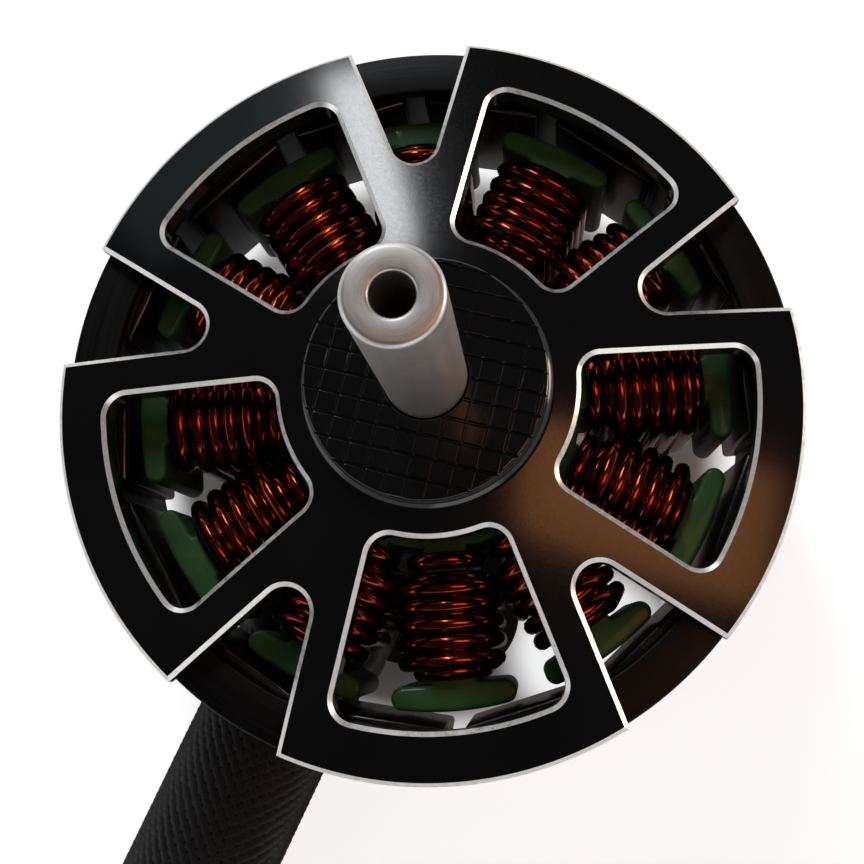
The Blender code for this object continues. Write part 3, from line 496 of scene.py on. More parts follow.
# Lead bundle
SLEEVE_WIDTH, SLEEVE_THICKNESS = 6.4, 2.7
LEAD_HEADING = radians(240.0)
FORWARD = Vector((cos(LEAD_HEADING), sin(LEAD_HEADING), 0.0))
SIDE = Vector((-FORWARD.y, FORWARD.x, 0.0))
UP = Vector((0.0, 0.0, 1.0))
SIDE_SHIFT, MOUTH_DEPTH = 1.55, 0.3
FOOT = -SIDE * SIDE_SHIFT
COLLAR_START, COLLAR_LENGTH, COLLAR_GAP, COLLAR_WALL = 8.8, 2.6, 0.08, 0.2
SLEEVE_EXIT_Z = BRIDGE_TOP_Z + CLEARANCE + SLEEVE_THICKNESS / 2 + COLLAR_GAP + COLLAR_WALL
SLEEVE_REST_Z = SLEEVE_THICKNESS / 2 + CLEARANCE
LEAD_DIAMETER, LEAD_PITCH = 1.9, 2.0


def route_length(route):
    return sum((b - a).length for a, b in zip(route, route[1:]))


def smooth_route(stops, spacing, pieces=24):
    """Points at an even spacing on a smooth curve through the stops."""
    padded = [2 * stops[0] - stops[1]] + stops + [2 * stops[-1] - stops[-2]]
    dense = []
    for before, start, end, after in zip(padded, padded[1:], padded[2:], padded[3:]):
        for step in range(pieces):
            t = step / pieces
            dense.append(0.5 * (2 * start + (end - before) * t
                                + (2 * before - 5 * start + 4 * end - after) * t ** 2
                                + (3 * start - before - 3 * end + after) * t ** 3))
    dense.append(stops[-1])
    length = route_length(dense)
    count = max(2, round(length / spacing))
    route = [dense[0]]
    walked = 0.0
    for a, b in zip(dense, dense[1:]):
        walked += (b - a).length
        if walked >= len(route) * length / count and len(route) < count:
            route.append(b)
    route.append(dense[-1])
    return route


def sleeve_stops():
    start = FOOT + FORWARD * (COLLAR_START + MOUTH_DEPTH)
    straight = [(0.0, SLEEVE_EXIT_Z), (3.0, SLEEVE_EXIT_Z), (6.5, SLEEVE_EXIT_Z - 0.1),
                (11.0, SLEEVE_EXIT_Z - 0.6), (15.0, SLEEVE_REST_Z + 0.1)]
    stops = [start + FORWARD * reach + UP * height for reach, height in straight]
    bend = [(-16.3, -25.4), (-17.3, -30.4), (-16.3, -35.4), (-13.2, -39.9), (-8.2, -43.4),
            (-2.2, -44.9), (3.8, -44.2), (9.0, -41.2), (13.0, -37.0)]
    return stops + [Vector((x, y, SLEEVE_REST_Z)) for x, y in bend]


def route_frames(route):
    """Centre, sideways and upward directions at each point of a route."""
    frames = []
    for index, point in enumerate(route):
        ahead = route[min(index + 1, len(route) - 1)]
        behind = route[max(index - 1, 0)]
        along = (ahead - behind).normalized()
        across = UP.cross(along).normalized()
        frames.append((point, across, along.cross(across).normalized()))
    return frames


def tube_faces(base, steps, ring):
    """Side faces of a tube whose rings of vertices follow each other from the index base."""
    return [(start + m, start + (m + 1) % ring, start + ring + (m + 1) % ring, start + ring + m)
            for start in range(base, base + steps * ring, ring) for m in range(ring)]


def make_braided_sleeve():
    """Flat braid of over-and-under yarns on a dark core tube."""
    yarns, lay, amplitude, yarn_width, yarn_drop = 32, 18.0, 0.028, 0.33, 0.035
    inset, core_inset, ring, stride = 0.1, 0.12, 24, 8
    half_width, half_height = SLEEVE_WIDTH / 2 - inset, SLEEVE_THICKNESS / 2 - inset
    route = smooth_route(sleeve_stops(), 0.14, 120)
    centres, across, upward = (np.array(part) for part in zip(*route_frames(route)))
    reach = np.arange(len(route)) * (route_length(route) / (len(route) - 1))
    verts, faces = [], []

    def strip(angle, lift):
        """One yarn as a low arched ribbon along an oval helix."""
        base = len(verts)
        c, s = np.cos(angle)[:, None], np.sin(angle)[:, None]
        normal = across * (c / half_width) + upward * (s / half_height)
        normal /= np.linalg.norm(normal, axis=1)[:, None]
        middle = centres + across * (half_width * c) + upward * (half_height * s) + normal * lift[:, None]
        along = np.gradient(middle, axis=0)
        along /= np.linalg.norm(along, axis=1)[:, None]
        sideways = np.cross(normal, along)
        for offset, drop in ((-yarn_width / 2, -yarn_drop), (0.0, 0.0), (yarn_width / 2, -yarn_drop)):
            verts.extend((middle + sideways * offset + normal * drop).tolist())
        count = len(angle)
        for row in (base, base + count):
            faces.extend((k, k + 1, k + count + 1, k + count) for k in range(row, row + count - 1))

    weave = np.cos(TAU * yarns * reach / lay)
    for index in range(yarns):
        strip(TAU * index / yarns + TAU * reach / lay, amplitude * weave)
        strip(TAU * index / yarns - TAU * reach / lay, -amplitude * weave)
    core, rows = len(verts), range(0, len(route), stride)
    oval = [(x * (half_width - core_inset), y * (half_height - core_inset)) for x, y in circle(1.0, ring)]
    verts += [(centres[k] + across[k] * x + upward[k] * y).tolist() for k in rows for x, y in oval]
    faces += tube_faces(core, len(rows) - 1, ring)
    faces.append(tuple(core + m for m in range(ring)))
    faces.append(tuple(core + (len(rows) - 1) * ring + m for m in reversed(range(ring))))
    mesh = bpy.data.meshes.new("braid")
    mesh.from_pydata((np.array(verts) * MM).tolist(), [], faces)
    mesh.shade_smooth()
    sleeve = add_piece("braided_sleeve", mesh, [FIBRE], "stator", "black_braid", "lead_sleeve")
    cad_route = smooth_route(sleeve_stops(), 0.9 * SLEEVE_WIDTH)
    ends = make_leads(cad_route[-1], (cad_route[-1] - cad_route[-2]).normalized())


def make_tube(name, points, diameter, material, slot, node, resolution):
    """Round cord of the stator as a curve with one open spline."""
    curve = bpy.data.curves.new(name, "CURVE")
    curve.dimensions = "3D"
    curve.use_fill_caps = True
    curve.bevel_depth = diameter / 2 * MM
    curve.bevel_resolution = resolution
    spline = curve.splines.new("POLY")
    spline.points.add(len(points) - 1)
    for point, place in zip(spline.points, points):
        point.co = (*(place * MM), 1.0)
    return add_piece(name, curve, [material], "stator", slot, node)


def make_leads(start, heading):
    """Three insulated leads with stranded tinned ends."""
    across = Vector((-heading.y, heading.x, 0.0))
    rest = LEAD_DIAMETER / 2 + CLEARANCE
    made = []
    for number, place in enumerate((-1, 0, 1), 1):
        stops = []
        for reach, spread in ((0.0, 1.0), (6.0, 1.15), (14.0, 1.9), (22.0, 2.9)):
            point = start + heading * (0.3 + reach) + across * (place * LEAD_PITCH * spread)
            stops.append(Vector((point.x, point.y, rest)))
        route = smooth_route(stops, 0.8)
        lead = make_tube(f"insulated_lead_{number}", route, LEAD_DIAMETER, INSULATION, "lead_insulation",
                         f"phase_lead_{number}", 6)
        coarse = smooth_route(stops, 2.5 * LEAD_DIAMETER)
        direction = (coarse[-1] - coarse[-2]).normalized()
        end = coarse[-1] + direction * CLEARANCE
        made += [lead, make_strands(number, end, direction, 3.0, 1.2)]
    return made


def make_strands(number, start, direction, length, diameter):
    """Twisted tinned strands of a bare wire end."""
    across = UP.cross(direction).normalized()
    upward = direction.cross(across)
    strand = diameter / 6.2
    verts, faces = [], []
    places = [(0.0, 0.0)] + [(strand * 1.02, TAU * k / 6) for k in range(6)]
    places += [(strand * 2.02, TAU * k / 12) for k in range(12)]
    steps, ring = 16, 8
    for radius, angle in places:
        reach = length - dice.uniform(0.0, 0.12)
        base = len(verts)
        for step in range(steps + 1):
            t = step / steps
            turn = angle + 2.2 * t
            middle = start + direction * (reach * t) + (across * cos(turn) + upward * sin(turn)) * radius
            verts += [tuple((middle + across * x + upward * y) * MM) for x, y in circle(strand / 2, ring)]
        faces += tube_faces(base, steps, ring)
        faces.append(tuple(base + m for m in reversed(range(ring))))
        faces.append(tuple(base + steps * ring + m for m in range(ring)))
    mesh = bpy.data.meshes.new("strands")
    mesh.from_pydata(verts, [], faces)
    return add_piece(f"tinned_end_{number}", smoothed(mesh, 50.0), [TINNED], "stator", "tinned_wire",
                     f"lead_end_{number}")


make_braided_sleeve()


# Rotor and bearings
def dome_height(radius):
    span = BELL_RADIUS - BOSS_RADIUS
    chord = hypot(span, DOME_RISE)
    sink = sqrt(DOME_ARC ** 2 - (chord / 2) ** 2)
    centre_radius = (BELL_RADIUS + BOSS_RADIUS) / 2 - sink * DOME_RISE / chord
    centre_z = RIM_Z + DOME_RISE / 2 - sink * span / chord
    return centre_z + sqrt(DOME_ARC ** 2 - (radius - centre_radius) ** 2)


def window_outline(inset):
    side = WINDOW_SIDE - WINDOW_FILLET
    fillet = WINDOW_FILLET - inset
    outer_centre, inner_centre = (turn_point((sqrt(reach ** 2 - side ** 2), side), HALF_ANGLE)
                                  for reach in (WINDOW_OUTER - WINDOW_FILLET, WINDOW_INNER + WINDOW_FILLET))
    outer_angle, inner_angle = (atan2(y, x) for x, y in (outer_centre, inner_centre))
    side_normal = HALF_ANGLE + pi / 2
    half = arc(WINDOW_OUTER - inset, 0.0, outer_angle, 12)
    half += arc(fillet, outer_angle, side_normal, 12, outer_centre)[1:]
    inner = arc(fillet, side_normal, inner_angle + pi, 12, inner_centre)
    half += between(half[-1], inner[0], 8) + inner
    half += arc(WINDOW_INNER + inset, inner_angle, 0.0, 6)[1:]
    return half + [(x, -y) for x, y in reversed(half)][1:-1]


def notch_outline(inset):
    side = WINDOW_SIDE + SPOKE_FACE
    fillet = NOTCH_FILLET - inset
    centre = ((NOTCH_FILLET + side) / sin(HALF_ANGLE), 0.0)
    half = arc(fillet, pi, HALF_ANGLE + pi / 2, 14, centre)
    reach = BELL_RADIUS + 1.0 - half[-1][0]
    mouth = (half[-1][0] + reach, half[-1][1] + reach * tan(HALF_ANGLE))
    half += between(half[-1], mouth, 14) + [mouth]
    return half + [(x, -y) for x, y in reversed(half[1:])]


def chamfer_cutter(outline, angle):
    over = EDGE_CHAMFER / 4
    straight, flared = turn_points(outline(EDGE_CHAMFER), angle), turn_points(outline(-over), angle)
    rings = [
        [(x, y, RIM_SEAT_Z - 1.0) for x, y in straight],
        [(x, y, dome_height(hypot(x, y)) - EDGE_CHAMFER) for x, y in straight],
        [(x, y, dome_height(hypot(x, y)) + over) for x, y in flared],
        [(x, y, BOSS_TOP_Z + 1.0) for x, y in flared],
    ]
    return lofted("cutter", rings)


def make_bell():
    """Bell with smooth domed face and bare chamfers round its windows, notches and rim."""
    hub_radius, web, seat_start, chamfer, fillet = 2.8, 1.3, BELL_RADIUS - 2.7, 0.15, 0.25
    face_start, face_end = BOSS_RADIUS + fillet, BELL_RADIUS - chamfer
    profile = [(FIT_RADIUS, HUB_FOOT_Z), (hub_radius, HUB_FOOT_Z),
               (hub_radius, dome_height(BOSS_RADIUS) - web), (seat_start, RIM_SEAT_Z),
               (BELL_RADIUS, RIM_SEAT_Z), (BELL_RADIUS, RIM_Z - chamfer)]
    for step in range(17):
        radius = face_end + (face_start - face_end) * step / 16
        profile.append((radius, dome_height(radius)))
    foot = dome_height(BOSS_RADIUS)
    profile += [(BOSS_RADIUS + 0.12, foot + 0.06), (BOSS_RADIUS + 0.03, foot + 0.14),
                (BOSS_RADIUS, foot + fillet), (BOSS_RADIUS, BOSS_SEAM_Z), (FIT_RADIUS, BOSS_SEAM_Z)]
    body = turned("bell_body", profile, 200)
    cutters = []
    for index in range(5):
        notch_angle = pi / 2 + 4 * HALF_ANGLE * index
        cutters.append(chamfer_cutter(notch_outline, notch_angle))
        cutters.append(chamfer_cutter(window_outline, notch_angle + 2 * HALF_ANGLE))
    mesh = cleaned(cut(body, cutters))
    normals, indices = [None] * len(mesh.loops), []
    for polygon in mesh.polygons:
        places = [mesh.vertices[v].co * 1000 for v in polygon.vertices]
        reaches = [hypot(p.x, p.y) for p in places]
        drops = [dome_height(r) - p.z for r, p in zip(reaches, places)]
        on_face = all(abs(d) < 0.004 and r > BOSS_RADIUS + 0.2 for d, r in zip(drops, reaches))
        on_chamfer = (not on_face and min(reaches) > BOSS_RADIUS + 0.4
                      and all(-0.01 < d < EDGE_CHAMFER + 0.03 for d in drops)
                      and 0.25 < polygon.normal.z < 0.97)
        indices.append(int(on_chamfer))
        for loop, p, r in zip(polygon.loop_indices, places, reaches):
            if on_face:
                s = (dome_height(r + 0.01) - dome_height(r - 0.01)) / 0.02
                normals[loop] = Vector((-s * p.x / r, -s * p.y / r, 1.0)).normalized()
            else:
                normals[loop] = mesh.corner_normals[loop].vector.copy()
    mesh.normals_split_custom_set(normals)
    add_piece("bell_shell", mesh, [BELL_BLACK, BARE], "rotor", "black_anodised", "bell")
    mesh.polygons.foreach_set("material_index", indices)


def make_boss_grip():
    """Boss face with two crossing sets of grip grooves."""
    pitch, groove, depth, shoulder, drop, turn = 0.775, 0.12, 0.06, 0.022, 0.007, radians(-17.4)
    points = boxed(FIT_RADIUS, BOSS_RADIUS, BOSS_SEAM_Z, BOSS_TOP_Z)
    body = turned("boss_body", rounded(points, [0.0, 0.0, 0.12, 0.1], 5), 160)
    edge = groove / 2
    section = [(-edge - shoulder, 0.0), (-edge, drop), (-groove / 6, depth), (groove / 6, depth),
               (edge, drop), (edge + shoulder, 0.0)]
    lines = [(pitch * (k + 0.35) + away, deep) for k in range(-6, 7) for away, deep in section]
    lines = [(-6.0, 0.0)] + lines + [(6.0, 0.0)]
    bm = bmesh.new()
    grid = vertex_rows(bm, [[(*turn_point((u, v), turn), BOSS_TOP_Z + 0.0005 - max(du * 0.35, dv))
                             for v, dv in lines] for u, du in lines])
    for a, b in zip(grid, grid[1:]):
        for k in range(len(lines) - 1):
            bm.faces.new((a[k], b[k], b[k + 1], a[k + 1]))
    border = grid[0][:-1] + [row[-1] for row in grid[:-1]] + grid[-1][:0:-1] + [row[0] for row in grid[:0:-1]]
    skirt = [bm.verts.new((vert.co.x, vert.co.y, BOSS_SEAM_Z - 1.0)) for vert in border]
    skin(bm, [border, skirt])
    bm.faces.new(skirt)
    field = finish_mesh("field", bm)
    mesh = cleaned(cut(body, [field], "INTERSECT"), 5.0)
    add_piece("boss_grip", mesh, [GRIP_BLACK], "rotor", "black_anodised", "bell")


def make_ring():
    lip, lip_foot = RING_BORE - 0.6, RING_TOP_Z - 0.75
    points = [(RING_BORE, RING_FOOT_Z), (RING_RADIUS, RING_FOOT_Z), (RING_RADIUS, RING_TOP_Z),
              (lip, RING_TOP_Z), (lip, lip_foot), (RING_BORE, lip_foot)]
    ring = turned("ring", rounded(points, [0.1, 0.25, 0.12, 0.12, 0.1, 0.05], 4), 200)
    add_piece("flux_ring_steel", ring, [RING_STEEL], "rotor", "ring_steel", "flux_ring")


def make_magnets():
    back = asin(MAGNET_WIDTH / 2 / MAGNET_OUTER)
    outline = arc(MAGNET_OUTER, -back, back, 8)
    outline += [(MAGNET_FACE, MAGNET_WIDTH / 2), (MAGNET_FACE, -MAGNET_WIDTH / 2)]
    for index in range(MAGNETS):
        turned_outline = turn_points(outline, TAU * index / MAGNETS)
        mesh = softened(extruded("magnet", turned_outline, MAGNET_FOOT_Z, MAGNET_TOP_Z), 0.16, 4, 40.0)
        add_piece(f"plated_magnet_{index + 1:02d}", mesh, [PLATING_PAINTED_DARK], "rotor", "magnet_plating",
                  f"magnet_{index + 1:02d}")


def make_shaft():
    groove = SHAFT_RADIUS - 0.3
    points = [(SHAFT_BORE_RADIUS, SHAFT_FOOT_Z), (groove, SHAFT_FOOT_Z), (SHAFT_RADIUS, SHAFT_FOOT_Z + 0.18),
              (SHAFT_RADIUS, 1.05), (groove, 1.05), (groove, 1.5), (SHAFT_RADIUS, 1.5),
              (SHAFT_RADIUS, SHAFT_TIP_Z), (SHAFT_BORE_RADIUS, SHAFT_TIP_Z)]
    profile = rounded(points, [0.05, 0.05, 0.05, 0.02, 0.02, 0.02, 0.02, 0.2, 0.12], 5)
    add_piece("ground_shaft", turned("shaft", profile, 96), [SHAFT_STEEL], "rotor", "shaft_steel", "shaft")


def make_washers():
    for name, node, foot, thick in (("thrust_washer", "shaft_washer", 1.5, 0.15),
                                    ("hub_shim", "bell_shim", 12.25, 0.2)):
        profile = rounded(boxed(FIT_RADIUS, 2.1, foot, foot + thick), [0.03] * 4, 3)
        add_piece(name, turned(name, profile, 72), [RACE_STEEL], "rotor", "bearing_steel", node)
    inner, start = SHAFT_RADIUS - 0.3 + 0.05, radians(35.0)
    outline = arc(inner + 1.1, start, TAU - start, 60) + arc(inner, TAU - start, start, 48)
    mesh = softened(extruded("clip", outline, 1.1, 1.45), 0.06, 2, 40.0)
    add_piece("spring_clip", mesh, [RACE_STEEL], "rotor", "bearing_steel", "shaft_clip")


def make_bearings():
    """Two ball bearings with grooved races and dished shields."""
    inner_wall, outer_wall = FIT_RADIUS + RACE_WALL, BEARING_RADIUS - RACE_WALL
    near, far, shield, depth = inner_wall + 0.1, outer_wall - 0.05, 0.15, 0.2
    dish = [(near, 0.03), (near + 0.1, 0.03), (near + 0.16, 0.0), (far - 0.14, 0.0), (far - 0.08, 0.04),
            (far, 0.04), (far, shield), (near, shield)]
    for prefix in ("lower_bearing", "upper_bearing"):
        foot = box_foot(prefix + "_outer_race")
        top, middle = foot + BEARING_HEIGHT, foot + BEARING_HEIGHT / 2
        low, high = middle - BALL_RADIUS, middle + BALL_RADIUS
        inner = boxed(FIT_RADIUS, inner_wall, foot, top)
        inner[2:2] = [(inner_wall, low), (inner_wall - depth, middle), (inner_wall, high)]
        outer = boxed(outer_wall, BEARING_RADIUS, foot, top)
        outer += [(outer_wall, high), (outer_wall + depth, middle), (outer_wall, low)]
        rings = (("inner", "rotor", inner, [0.1, 0.06, 0.0, 0.0, 0.0, 0.06, 0.1]),
                 ("outer", "stator", outer, [0.06, 0.15, 0.15, 0.06, 0.0, 0.0, 0.0]))
        for side, body, points, radii in rings:
            race = turned("race", rounded(points, radii, 3), 96)
            add_piece(f"{prefix}_{side}_ring", race, [RACE_STEEL], body, "bearing_steel",
                      f"{prefix}_{side}_race")
        lower = [(x, foot + 0.1 + rise) for x, rise in dish]
        upper = [(x, top - 0.1 - rise) for x, rise in reversed(dish)]
        for side, points in (("lower", lower), ("upper", upper)):
            add_piece(f"{prefix}_{side}_shield_plate", turned("shield", points, 96, 50.0), [SHIELD_STEEL],
                      "stator", "shield_steel", f"{prefix}_{side}_shield")
        add_cage(prefix, middle)


def box_foot(node):
    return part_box(node)[0][2] * 1000


def add_cage(prefix, middle):
    """Seven balls joined by a thin pressed cage ring."""
    pitch = (FIT_RADIUS + BEARING_RADIUS) / 2
    bm = bmesh.new()
    for index in range(BALLS):
        x, y = turn_point((pitch, 0.0), TAU * index / BALLS)
        bmesh.ops.create_uvsphere(bm, u_segments=20, v_segments=12, radius=BALL_RADIUS,
                                  matrix=Matrix.Translation((x, y, middle)))
    ring, count = [], 84
    for index in range(count):
        angle = TAU * index / count
        swell = 0.13 + 0.17 * max(0.0, cos(BALLS * angle)) ** 2
        section = boxed(pitch - 0.05, pitch + 0.05, middle - swell, middle + swell)
        ring.append([(*turn_point((r, 0.0), angle), z) for r, z in section])
    ring = vertex_rows(bm, ring)
    skin(bm, ring + ring[:1])
    body = prefix.split("_")[0] + "_balls"
    add_piece(prefix + "_balls_and_cage", finish_mesh("cage", bm, 40.0), [RACE_STEEL], body,
              "bearing_steel", prefix + "_ball_cage")


make_bell()
make_boss_grip()
make_ring()
make_magnets()
make_shaft()
make_washers()
make_bearings()


# Stator
def stack_outline():
    half_tooth, half_tip = TOOTH_WIDTH / 2, TIP_WIDTH / 2
    tip_foot = STACK_RADIUS - TIP_DEPTH
    edge = TIP_EDGE / 2
    tip_angle = asin((half_tip - edge) / STACK_RADIUS)
    edge_middle = STACK_RADIUS * cos(tip_angle) - edge
    half = [(sqrt(YOKE_RADIUS ** 2 - half_tooth ** 2), half_tooth), (tip_foot - 0.25, half_tooth)]
    half += [(tip_foot - 0.05, half_tooth + 0.06), (tip_foot, half_tooth + 0.25)]
    half += arc(edge, pi, tip_angle, 12, (edge_middle, half_tip - edge))[:-1]
    half += arc(STACK_RADIUS, tip_angle, 0.0, 6)
    tooth = [(x, -y) for x, y in half[:-1]] + list(reversed(half))
    tooth += [turn_point((YOKE_RADIUS, 0.0), pi / TEETH + d) for d in (-0.06, 0.0, 0.06)]
    return [point for index in range(TEETH) for point in turn_points(tooth, TAU * index / TEETH)]


def make_stack():
    """Coated stack whose tooth tips end in thick rounded rims."""
    body = extruded("stack", stack_outline(), STACK_FOOT_Z, STACK_TOP_Z)
    bore = extruded("bore", circle(STACK_BORE, 96), STACK_FOOT_Z - 1, STACK_TOP_Z + 1)
    mesh = cleaned(cut(body, [bore]))
    bm = bmesh.new()
    bm.from_mesh(mesh)
    rims = [e for e in bm.edges if len(e.link_faces) == 2
            and abs(abs(e.link_faces[0].normal.z) - abs(e.link_faces[1].normal.z)) > 0.9]
    bmesh.ops.bevel(bm, geom=rims, offset=0.4 * MM, segments=6, profile=0.5, affect="EDGES",
                    clamp_overlap=True)
    for face in bm.faces:
        middle = face.calc_center_median() * 1000
        facing = Vector((middle.x, middle.y, 0.0)).normalized().dot(face.normal)
        if hypot(middle.x, middle.y) > STACK_RADIUS - 0.12 and facing > 0.97:
            face.material_index = 1
    stored(bm, mesh, 40.0)
    indices = [p.material_index for p in mesh.polygons]
    add_piece("coated_stack", mesh, [GREEN, LAMINATED], "stator", "green_coat", "stator_stack")
    mesh.polygons.foreach_set("material_index", indices)


def wound_turn(half_width, straight, rise):
    """One turn round a tooth as 40 (across, up) points: straight sides and arched ends."""
    over = [(half_width * cos(pi * k / 16), straight + rise * sin(pi * k / 16)) for k in range(17)]
    under = [(-x, -z) for x, z in over]
    return over + between(over[-1], under[0], 4) + under + between(under[-1], over[0], 4)


def make_coils():
    """Two layers of enamelled wire on each tooth."""
    wire, coat = 0.64, 0.15
    start, end = YOKE_RADIUS + coat + wire / 2, STACK_RADIUS - TIP_DEPTH - coat - wire / 2
    half_width, straight, rise = TOOTH_WIDTH / 2 + 0.05 + wire / 2, 2.75, 1.0
    for index in range(TEETH):
        angle = TAU * index / TEETH
        points = []
        layers = [(7, start, end, 0.0), (5, end - 0.33, start + 1.0, wire * 0.84)]
        for turns, first, last, lift in layers:
            jitter = [dice.uniform(-0.06, 0.06) for _ in range(turns + 2)]
            puff = [dice.uniform(-0.05, 0.08) for _ in range(turns + 2)]
            ring = wound_turn(half_width + lift, straight, rise + lift * 0.8)
            around = len(ring)
            for k in range(turns * around):
                turn, part = k // around, k / around - k // around
                across, up = ring[k % around]
                late = max(0.0, part - 0.45) / 0.55
                step = late * late * (3 - 2 * late)
                reach = first + (last - first) * min(turn + step, turns - 1) / (turns - 1)
                reach += jitter[turn] * (1 - step) + jitter[turn + 1] * step
                bulge = puff[turn] * (1 - part) + puff[turn + 1] * part
                x, y = turn_point((reach, across * (1 + bulge * 0.3)), angle)
                points.append(Vector((x, y, STACK_MIDDLE_Z + up + (bulge if up > 0 else -bulge))))
        smooth = [a * 0.25 + b * 0.5 + c * 0.25 for a, b, c in zip(points, points[1:], points[2:])]
        make_tube(f"wound_coil_{index + 1:02d}", [points[0]] + smooth + [points[-1]], wire, COPPER,
                  "copper_enamel", f"coil_{index + 1:02d}", 3)


def arm_outline():
    half_width, boss_radius = 2.0, 2.55
    neck = pi - asin(half_width / boss_radius)
    start = sqrt(TUBE_RADIUS ** 2 - half_width ** 2 / 4)
    end = arc(boss_radius, -neck, neck, 40, (HOLE_CIRCLE, 0.0))
    return [(start, -half_width)] + end + [(start, half_width)]


def make_base():
    """Base with rounded machined edges and countersunk screw holes."""
    seat = TUBE_RADIUS + 0.9
    lower_top = box_foot("lower_bearing_outer_race") + BEARING_HEIGHT + CLEARANCE
    upper_foot = box_foot("upper_bearing_outer_race") - CLEARANCE
    shoulder = STACK_FOOT_Z - CLEARANCE
    profile = [(SEAT_BORE, 0.0), (seat, 0.0), (seat, shoulder), (TUBE_RADIUS, shoulder),
               (TUBE_RADIUS, TUBE_TOP_Z), (SEAT_BORE, TUBE_TOP_Z), (SEAT_BORE, upper_foot),
               (LEDGE_BORE, upper_foot), (LEDGE_BORE, lower_top), (SEAT_BORE, lower_top)]
    hub = turned("hub", profile, 96)
    additions, holes = [], []
    sink = 0.2
    countersinks = ((sink + 1.0, -1.0), (sink, 0.0), (0.0, sink), (0.0, ARM_TOP_Z - sink), (sink, ARM_TOP_Z),
                    (sink + 1.0, ARM_TOP_Z + 1.0))
    for index in range(4):
        angle = TAU * index / 4
        additions.append(extruded("arm", turn_points(arm_outline(), angle), 0.0, ARM_TOP_Z))
        start, finish = (TUBE_RADIUS + seat) / 2, HOLE_CIRCLE - HOLE_RADIUS - sink
        side = [(start, 1.3), (finish, 1.3), (finish, 2.7), (start, 3.6)]
        rib = [[(*turn_point((r, offset), angle), z) for r, z in side] for offset in (-1.0, 1.0)]
        additions.append(lofted("rib", rib))
        centre = turn_point((HOLE_CIRCLE, 0.0), angle)
        hole = [[(x, y, z) for x, y in circle(HOLE_RADIUS + wider, 64, centre)] for wider, z in countersinks]
        holes.append(lofted("hole", hole))
    overlap = asin(1.0 / BRIDGE_OUTER)
    first, last = pi + overlap, 1.5 * pi - overlap
    bridge = arc(BRIDGE_OUTER, first, last, 40) + arc(BRIDGE_INNER, last, first, 40)
    additions.append(extruded("bridge", bridge, 0.0, BRIDGE_TOP_Z))
    solid = cleaned(cut(hub, additions, "UNION"))
    solid = softened(solid, 0.09, 2, 50.0)
    mesh = cleaned(cut(solid, holes), 35.0)
    add_piece("machined_base", mesh, [BASE_BLACK], "stator", "base_anodised", "base")


def make_collar():
    """Shrunk tube that follows the bundle with soft ripples."""
    rows, count = [], 72
    for outer in (True, False):
        for step in range(25):
            t = step / 24 if outer else 1 - step / 24
            reach = COLLAR_START + COLLAR_LENGTH * t
            middle = FOOT + FORWARD * reach + UP * SLEEVE_EXIT_Z
            row = []
            for k in range(count):
                angle = TAU * k / count
                wave = noise.noise(Vector((cos(angle) * 2, sin(angle) * 2, t * 3))) * 0.05
                wall = COLLAR_GAP
                if outer:
                    wall += COLLAR_WALL - 0.05 * (2 * t - 1) ** 6 - abs(wave)
                row.append(middle + SIDE * (cos(angle) * (SLEEVE_WIDTH / 2 + wall))
                           + UP * (sin(angle) * (SLEEVE_THICKNESS / 2 + wall)))
            rows.append(row)
    bm = bmesh.new()
    made = vertex_rows(bm, rows)
    skin(bm, made + made[:1])
    mesh = finish_mesh("collar", bm, 60.0)
    add_piece("shrunk_collar", mesh, [SHRINK], "stator", "shrink_tube", "lead_collar")


def make_tails():
    """Wire ends from three coils to the sleeve's mouth."""
    tail, coil_foot = 0.65, STACK_FOOT_Z - 0.7
    mouth = FOOT + FORWARD * (COLLAR_START - MOUTH_DEPTH) + UP * SLEEVE_EXIT_Z
    drop = (YOKE_RADIUS + STACK_RADIUS) / 2 - LEAD_DIAMETER
    for number, place in enumerate((-1, 0, 1), 1):
        coil_angle = LEAD_HEADING + place * TAU / TEETH
        top = Vector((drop * cos(coil_angle), drop * sin(coil_angle), coil_foot - tail / 2 - CLEARANCE))
        end = mouth + SIDE * (place * LEAD_PITCH)
        knee = end - FORWARD * LEAD_DIAMETER / 2 + UP * tail
        make_tube(f"enamelled_tail_{number}", smooth_route([top, knee, end], 0.3), tail, COPPER,
                  "copper_enamel", f"winding_tail_{number}", 4)


make_stack()
make_coils()
make_base()
make_collar()
make_tails()


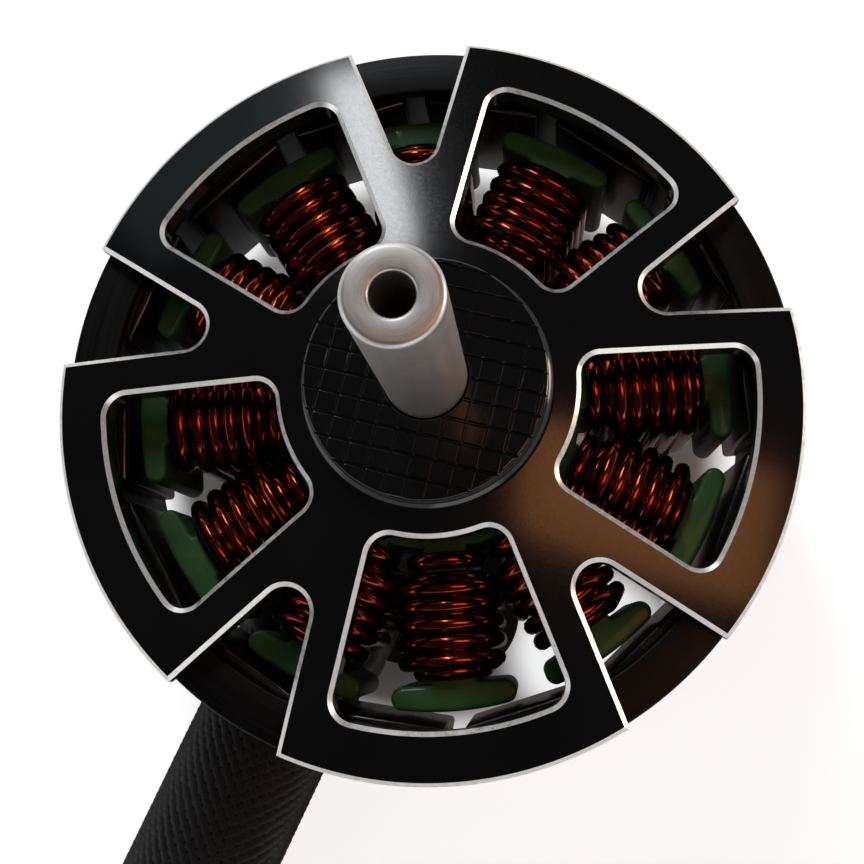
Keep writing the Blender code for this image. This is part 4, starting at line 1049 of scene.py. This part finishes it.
# Floor, backdrop and light
def background_material(name, colour, sight, shine):
    """Matt stage paint that the camera and gloss see as a white background. Its glow is dimmed below and near
    the motor as a painted shadow, with a painted patch of light at the front right.
    """
    stage = Nodes(name)
    stage.tree.nodes.clear()
    coords = stage.node("ShaderNodeTexCoord")

    def spread(centre, start, end, low, high):
        """Smooth step from low to high with the distance from a point of the floor, in millimetres."""
        away = stage.node("ShaderNodeVectorMath", operation="DISTANCE")
        stage.link(coords.outputs["Object"], away.inputs[0])
        away.inputs[1].default_value = (centre[0] * MM, centre[1] * MM, 0.0)
        return stage.remap(away.outputs["Value"], start * MM, end * MM, low, high,
                           interpolation_type="SMOOTHSTEP")

    path = stage.node("ShaderNodeLightPath")
    gloss = stage.math("MAXIMUM", path.outputs["Is Glossy Ray"], path.outputs["Is Transmission Ray"])
    # Painted shadow: the glow the camera sees is dimmed inside the motor's footprint, and a painted patch of
    # light keeps it bright at the front right.
    seen_with_painted_shadow = stage.math("MAXIMUM", spread((-0.4, 0.3), 12.0, 14.0, 0.0, sight),
                      spread((5.6, -9.9), 2.4, 4.6, sight, 0.0))
    # Painted shade in reflections: the glow that gloss rays see is dimmed within 60 mm of the motor.
    mirrored_with_painted_shadow = spread((0.0, 0.0), 14.0, 60.0, 0.008, shine)
    strength = stage.math("ADD", stage.math("MULTIPLY", path.outputs["Is Camera Ray"], seen_with_painted_shadow),
                          stage.math("MULTIPLY", gloss, mirrored_with_painted_shadow))
    diffuse = stage.node("ShaderNodeBsdfDiffuse", Color=(*colour, 1.0))
    glow = stage.node("ShaderNodeEmission", Color=(0.965, 0.985, 1.0, 1.0))
    stage.link(strength, glow.inputs["Strength"])
    both = stage.node("ShaderNodeAddShader")
    stage.link(diffuse.outputs[0], both.inputs[0])
    stage.link(glow.outputs[0], both.inputs[1])
    stage.link(both.outputs[0], stage.node("ShaderNodeOutputMaterial").inputs["Surface"])
    return stage.material


def make_stage():
    """Round floor that sweeps up into a low wall."""
    flat, sweep, wall_top = 600.0, 150.0, 420.0
    profile = [(flat, 0.0)] + arc(sweep, -pi / 2, 0.0, 10, (flat, sweep)) + [(flat + sweep, wall_top)]
    bm = bmesh.new()
    centre = bm.verts.new((0.0, 0.0, 0.0))
    count = 64
    rows = vertex_rows(bm, [[(x, y, height) for x, y in circle(reach, count)] for reach, height in profile])
    for k in range(count):
        bm.faces.new((centre, rows[0][k], rows[0][(k + 1) % count]))
    skin(bm, rows[::-1])
    bmesh.ops.scale(bm, vec=(MM, MM, MM), verts=bm.verts[:])
    mesh = bpy.data.meshes.new("stage_floor")
    bm.to_mesh(mesh)
    bm.free()
    mesh.shade_smooth()
    mesh.materials.append(background_material("stage_paint", (0.8, 0.8, 0.8), 0.8, 0.62))
    new_object("stage_floor", mesh)


def make_light(name, azimuth, elevation, distance, size, radiance, colour):
    """Soft rectangular lamp that faces the motor. Azimuth is counted from +X."""
    data = bpy.data.lights.new(name, "AREA")
    data.shape = "RECTANGLE"
    data.size, data.size_y = size
    data.energy = radiance * pi * size[0] * size[1]
    data.color = colour
    lamp = new_object(name, data)
    a, e = radians(azimuth), radians(elevation)
    away = Vector((cos(a) * cos(e), sin(a) * cos(e), sin(e)))
    lamp.location = Vector((0.0, 0.0, 0.012)) + away * distance
    lamp.rotation_mode = "QUATERNION"
    lamp.rotation_quaternion = away.to_track_quat("Z", "Y")


def make_world():
    world = bpy.data.worlds.new("studio")
    bpy.context.scene.world = world
    world.use_nodes = True
    shade = world.node_tree.nodes["Background"]
    shade.inputs["Color"].default_value = (0.95, 0.97, 1.0, 1.0)
    shade.inputs["Strength"].default_value = 0.05


make_stage()
make_world()
make_light("key_strip", 102.5, 51.0, 0.30, (0.027, 0.105), 20.0, (0.94, 0.97, 1.0))
make_light("warm_card", -16.0, 68.5, 0.30, (0.075, 0.135), 2.9, (1.0, 0.38, 0.13))
make_light("cool_card", 122.0, 43.0, 0.30, (0.14, 0.06), 0.3, (0.75, 0.95, 1.0))
make_light("right_softbox", 6.0, 5.0, 0.45, (0.16, 0.075), 20.0, (1.0, 0.74, 0.54))
make_light("back_softbox", 105.0, 20.0, 0.45, (0.30, 0.18), 1.5, (0.97, 0.98, 1.0))
make_light("left_softbox", 195.0, 20.0, 0.45, (0.30, 0.18), 1.0, (0.95, 0.97, 1.0))
make_light("front_softbox", 285.0, 20.0, 0.45, (0.30, 0.18), 1.2, (1.0, 0.98, 0.96))

bpy.context.scene.view_settings.view_transform = "Standard"
